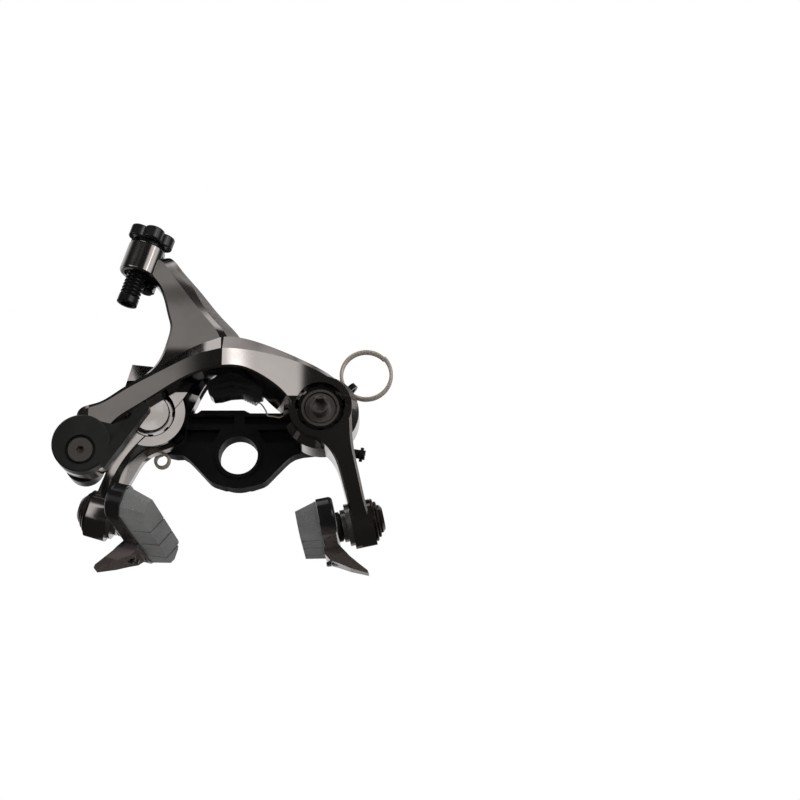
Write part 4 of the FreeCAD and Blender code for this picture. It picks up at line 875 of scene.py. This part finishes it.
@dataclass
class Adjuster:
    """The threaded barrel of the cable adjuster, in its own frame with Z up its axis.

    Attributes:
        middle: middle of the boss, in millimetres.
        way: direction of the axis, upwards.
        radius: outside of the thread.
        depth: depth of the thread.
        pitch: from one turn to the next.
        below: the barrel's end below the boss's middle.
        collar: plain end below the thread.
        top: the barrel's end above the boss's middle.
        bore: radius of the cable's bore.
        bore_depth: how far the bore goes in.
        foot: the lower end's width as a share of the thread's.
        run_in: length over which the thread comes up to its depth.
        flank: how steep the thread's flanks are.
        skin: how deep a point lies that still counts as outside.
        steps: rings of points for one turn of the thread.
        sides: points round one ring.
    """

    middle: Vector
    way: Vector
    radius: float = 3.5
    depth: float = 0.62
    pitch: float = 1.25
    below: float = 15.8
    collar: float = 2.3
    top: float = 10.1
    bore: float = 2.0
    bore_depth: float = 6.0
    foot: float = 0.84
    run_in: float = 0.6
    flank: float = 1.35
    skin: float = 0.1
    steps: int = 8
    sides: int = 48

    def build(self) -> None:
        """Make the barrel."""
        low = -self.below
        step = self.pitch / self.steps
        barrel = drum("threaded_barrel", self.radius, low, low + step, self.sides)
        pick_faces(barrel, lambda face: face.normal.z > FACING)
        for _ in range(round((self.top - low) / step) - 1):
            bpy.ops.mesh.extrude_region_move(TRANSFORM_OT_translate={"value": (0.0, 0.0, step)})
        bpy.ops.object.mode_set(mode="OBJECT")
        pick_faces(barrel, lambda face: face.normal.z < -FACING)
        bpy.ops.transform.resize(value=(self.foot, self.foot, 1.0))
        bpy.ops.mesh.inset(thickness=self.radius * self.foot - self.bore)
        bpy.ops.mesh.extrude_region_move(TRANSFORM_OT_translate={"value": (0.0, 0.0, self.bore_depth)})
        bpy.ops.object.mode_set(mode="OBJECT")
        for point in barrel.data.vertices:
            self.cut_thread(point)
        choose(barrel)
        bpy.ops.object.shade_smooth_by_angle(angle=math.radians(SMOOTH_BELOW))
        turn = self.way.to_track_quat("Z", "Y").to_matrix().to_4x4()
        settle(barrel, Matrix.Scale(MILLIMETRE, 4) @ Matrix.Translation(self.middle) @ turn)
        stand_for(barrel, Body.BARREL, Slot.DARK_STEEL, BLACK_METAL, "adjuster_barrel")

    def cut_thread(self, point: bpy.types.MeshVertex) -> None:
        """Draw a point of the outside in to the thread's profile.

        Args:
            point: a point of the mesh, which stays where it is on the collar and inside.
        """
        across = math.hypot(point.co.x, point.co.y)
        height = point.co.z + self.below
        if across < self.radius - self.skin or height < self.collar:
            return
        angle = math.atan2(point.co.y, point.co.x) / math.tau
        phase = (height / self.pitch - angle) % 1.0
        valley = 0.5 - 0.5 * math.cos(math.tau * phase)
        fade = min(1.0, (height - self.collar) / self.run_in)
        share = (across - self.depth * fade * min(1.0, self.flank * valley)) / across
        point.co.x *= share
        point.co.y *= share


@dataclass
class Studio:
    """A pale floor, soft lamps, a white surround and the camera.

    Attributes:
        distance: from the camera to the caliper's origin along the line of sight, in metres.
        rise: how far the camera looks up, in degrees.
        aside: how far the camera stands to the right, in metres.
        above: how far it stands above its own axis, in metres.
        focal: focal length, in millimetres.
        film: width of the picture that it is for, in millimetres.
        floor_level: height of the floor, in metres.
        back_glow: how bright the surround behind the caliper shows in its gloss.
        left_glow: the same for the window on the left.
        right_glow: the same for the window on the right.
        dark: what the gloss shows between the windows.
    """

    distance: float = 0.600
    rise: float = 16.0
    aside: float = 0.0539
    above: float = 0.00966
    focal: float = 79.6
    film: float = 36.0
    floor_level: float = -0.30
    back_glow: float = 0.78
    left_glow: float = 0.34
    right_glow: float = 1.0
    dark: Colour = (0.020, 0.019, 0.018)

    def build(self) -> None:
        """Make the camera, the surround, the floor and the lamps."""
        self.make_camera()
        self.make_surround()
        self.make_floor()
        self.make_lamps()
        view = bpy.context.scene.view_settings
        view.view_transform = "Standard"

    def make_camera(self) -> None:
        """Stand the camera below and in front of the caliper, looking up."""
        angle = math.radians(self.rise)
        along = Vector((0.0, math.cos(angle), math.sin(angle)))
        upward = Vector((0.0, -math.sin(angle), math.cos(angle)))
        lens = bpy.data.cameras.new("camera")
        lens.lens = self.focal
        lens.sensor_width = self.film
        lens.clip_start = 0.01
        lens.clip_end = 20.0
        camera = bpy.data.objects.new("camera", lens)
        camera.location = -self.distance * along + Vector((self.aside, 0.0, 0.0)) + self.above * upward
        camera.rotation_euler = (math.radians(90.0 + self.rise), 0.0, 0.0)
        bpy.context.scene.collection.objects.link(camera)
        bpy.context.scene.camera = camera

    def make_surround(self) -> None:
        """White behind the caliper, soft grey light on it, and windows of light for its gloss."""
        world = bpy.data.worlds.new("surround")
        world.use_nodes = True
        bpy.context.scene.world = world
        bench = Bench(world.node_tree)
        way = bench.wire(bench.add("ShaderNodeTexCoord"), "Generated")
        rays = bench.add("ShaderNodeLightPath")
        seen = bench.wire(rays, "Is Camera Ray")
        gloss = bench.wire(rays, "Is Glossy Ray")
        through = bench.wire(rays, "Is Transmission Ray")
        axes = bench.add("ShaderNodeSeparateXYZ", {}, {"Vector": way})
        aside, forth, upward = (bench.wire(axes, name) for name in ("X", "Y", "Z"))
        mirrored = bench.mixed(self.windows(bench, aside, forth, upward), self.dark, (1.0, 0.99, 1.0))
        shaded = bench.mixed(bench.span(aside, -0.4, 0.8, 0.0, 1.0), (0.10, 0.10, 0.10), (1.0, 1.0, 1.0))
        lit = bench.mixed(gloss, shaded, mirrored)
        white = bench.mixed(seen + through, lit, (1.0, 1.0, 1.0))
        background = bench.add("ShaderNodeBackground", {}, {"Color": white, "Strength": 1.0})
        bench.add("ShaderNodeOutputWorld", {}, {"Surface": bench.wire(background)})

    def windows(self, bench: Bench, aside: Wire, forth: Wire, upward: Wire) -> Wire:
        """Where the gloss shows light.

        Args:
            bench: the world's nodes.
            aside: how far a ray goes to the right.
            forth: how far it goes away from the camera.
            upward: how far it goes up.

        Returns:
            The wire of the light, from nothing to one.
        """
        behind = bench.span(forth, 0.25, 0.75, 0.0, self.back_glow)
        behind = behind * bench.span(upward, -0.25, -0.10, 0.0, 1.0) * bench.span(upward, 0.60, 0.80, 1.0, 0.0)
        beside = bench.span(aside, 0.30, 0.40, 0.0, 1.0) + bench.span(aside, -0.22, -0.14, 1.0, 0.0)
        above = bench.span(upward, 0.86, 0.92, 0.0, 1.0) * beside
        left = bench.span(-aside, 0.26, 0.42, 0.0, self.left_glow)
        right = bench.span(aside, 0.24, 0.40, 0.0, self.right_glow)
        ahead = bench.span(-forth, 0.10, 0.40, 0.0, 1.0) * bench.span(upward, -0.15, 0.05, 0.0, 1.0)
        return behind + above + ahead * (left + right) * bench.span(upward, 0.38, 0.50, 1.0, 0.0)

    def make_floor(self) -> None:
        """A pale floor well below the caliper."""
        bpy.ops.object.select_all(action="DESELECT")
        bpy.ops.mesh.primitive_plane_add(size=6.0, location=(0.0, 0.0, self.floor_level))
        floor = bpy.context.object
        floor.name = "floor"
        material = bpy.data.materials.new("pale_floor")
        material.use_nodes = True
        bench = Bench(material.node_tree)
        shade = bench.mixed(bench.noise(3.0, 2.0), (0.90, 0.90, 0.90), (0.92, 0.92, 0.92))
        shader = bench.add("ShaderNodeBsdfPrincipled", {}, {"Base Color": shade, "Roughness": 0.9})
        bench.add("ShaderNodeOutputMaterial", {}, {"Surface": bench.wire(shader)})
        floor.data.materials.append(material)
        floor.visible_glossy = False

    def make_lamps(self) -> None:
        """Three softboxes: one overhead in front, which the gloss doesn't show, and one on each side."""
        self.softbox("overhead", (0.0, -0.45, 0.85), (0.7, 0.5), 5.0, mirrored=False)
        self.softbox("left_box", (-0.9, -0.45, 0.25), (0.4, 0.7), 0.5)
        self.softbox("right_box", (0.66, -0.80, 0.30), (0.09, 0.55), 0.35)

    def softbox(self, name: str, place: Colour, size: tuple[float, float], power: float,
                mirrored: bool = True) -> None:
        """Aim a soft rectangular lamp at the caliper.

        Args:
            name: the lamp's name.
            place: where it stands, in metres.
            size: its width and height, in metres.
            power: its power, in watts.
            mirrored: whether it shows in the caliper's gloss.
        """
        lamp = bpy.data.lights.new(name, "AREA")
        lamp.shape = "RECTANGLE"
        lamp.size, lamp.size_y = size
        lamp.energy = power
        item = bpy.data.objects.new(name, lamp)
        item.location = place
        item.rotation_euler = (-Vector(place)).to_track_quat("-Z", "Y").to_euler()
        item.visible_camera = False
        item.visible_glossy = mirrored
        bpy.context.scene.collection.objects.link(item)


def main() -> None:
    """Dress the caliper, build its fine pieces and stand the studio round it."""
    logging.basicConfig(level=logging.INFO, format="%(name)s: %(message)s")
    for finish, nodes in NODE_FINISH.items():
        for node in nodes:
            dress(node, finish)
    Shoe("right", Vector(RIGHT_BOSS), tilt=11.9, turn=0.6, toe=0.0).build()
    Shoe("left", Vector(LEFT_BOSS), tilt=16.2, turn=-7.5, toe=9.2).build()
    lean = math.tan(math.radians(ADJUSTER_LEAN))
    nod = math.tan(math.radians(ADJUSTER_NOD))
    Adjuster(Vector(ADJUSTER_MIDDLE), Vector((lean, nod, 1.0)).normalized()).build()
    pin = Vector((math.cos(math.radians(PIN_ANGLE)), 0.0, math.sin(math.radians(PIN_ANGLE))))
    middle = Vector(PIN_FOOT) + pin * RING_REACH
    SplitRing(middle, pin, radius=8.3, wire=0.6, pitch=1.65, turns=2.0).build()
    Studio().build()


if __name__ == "__main__":
    main()
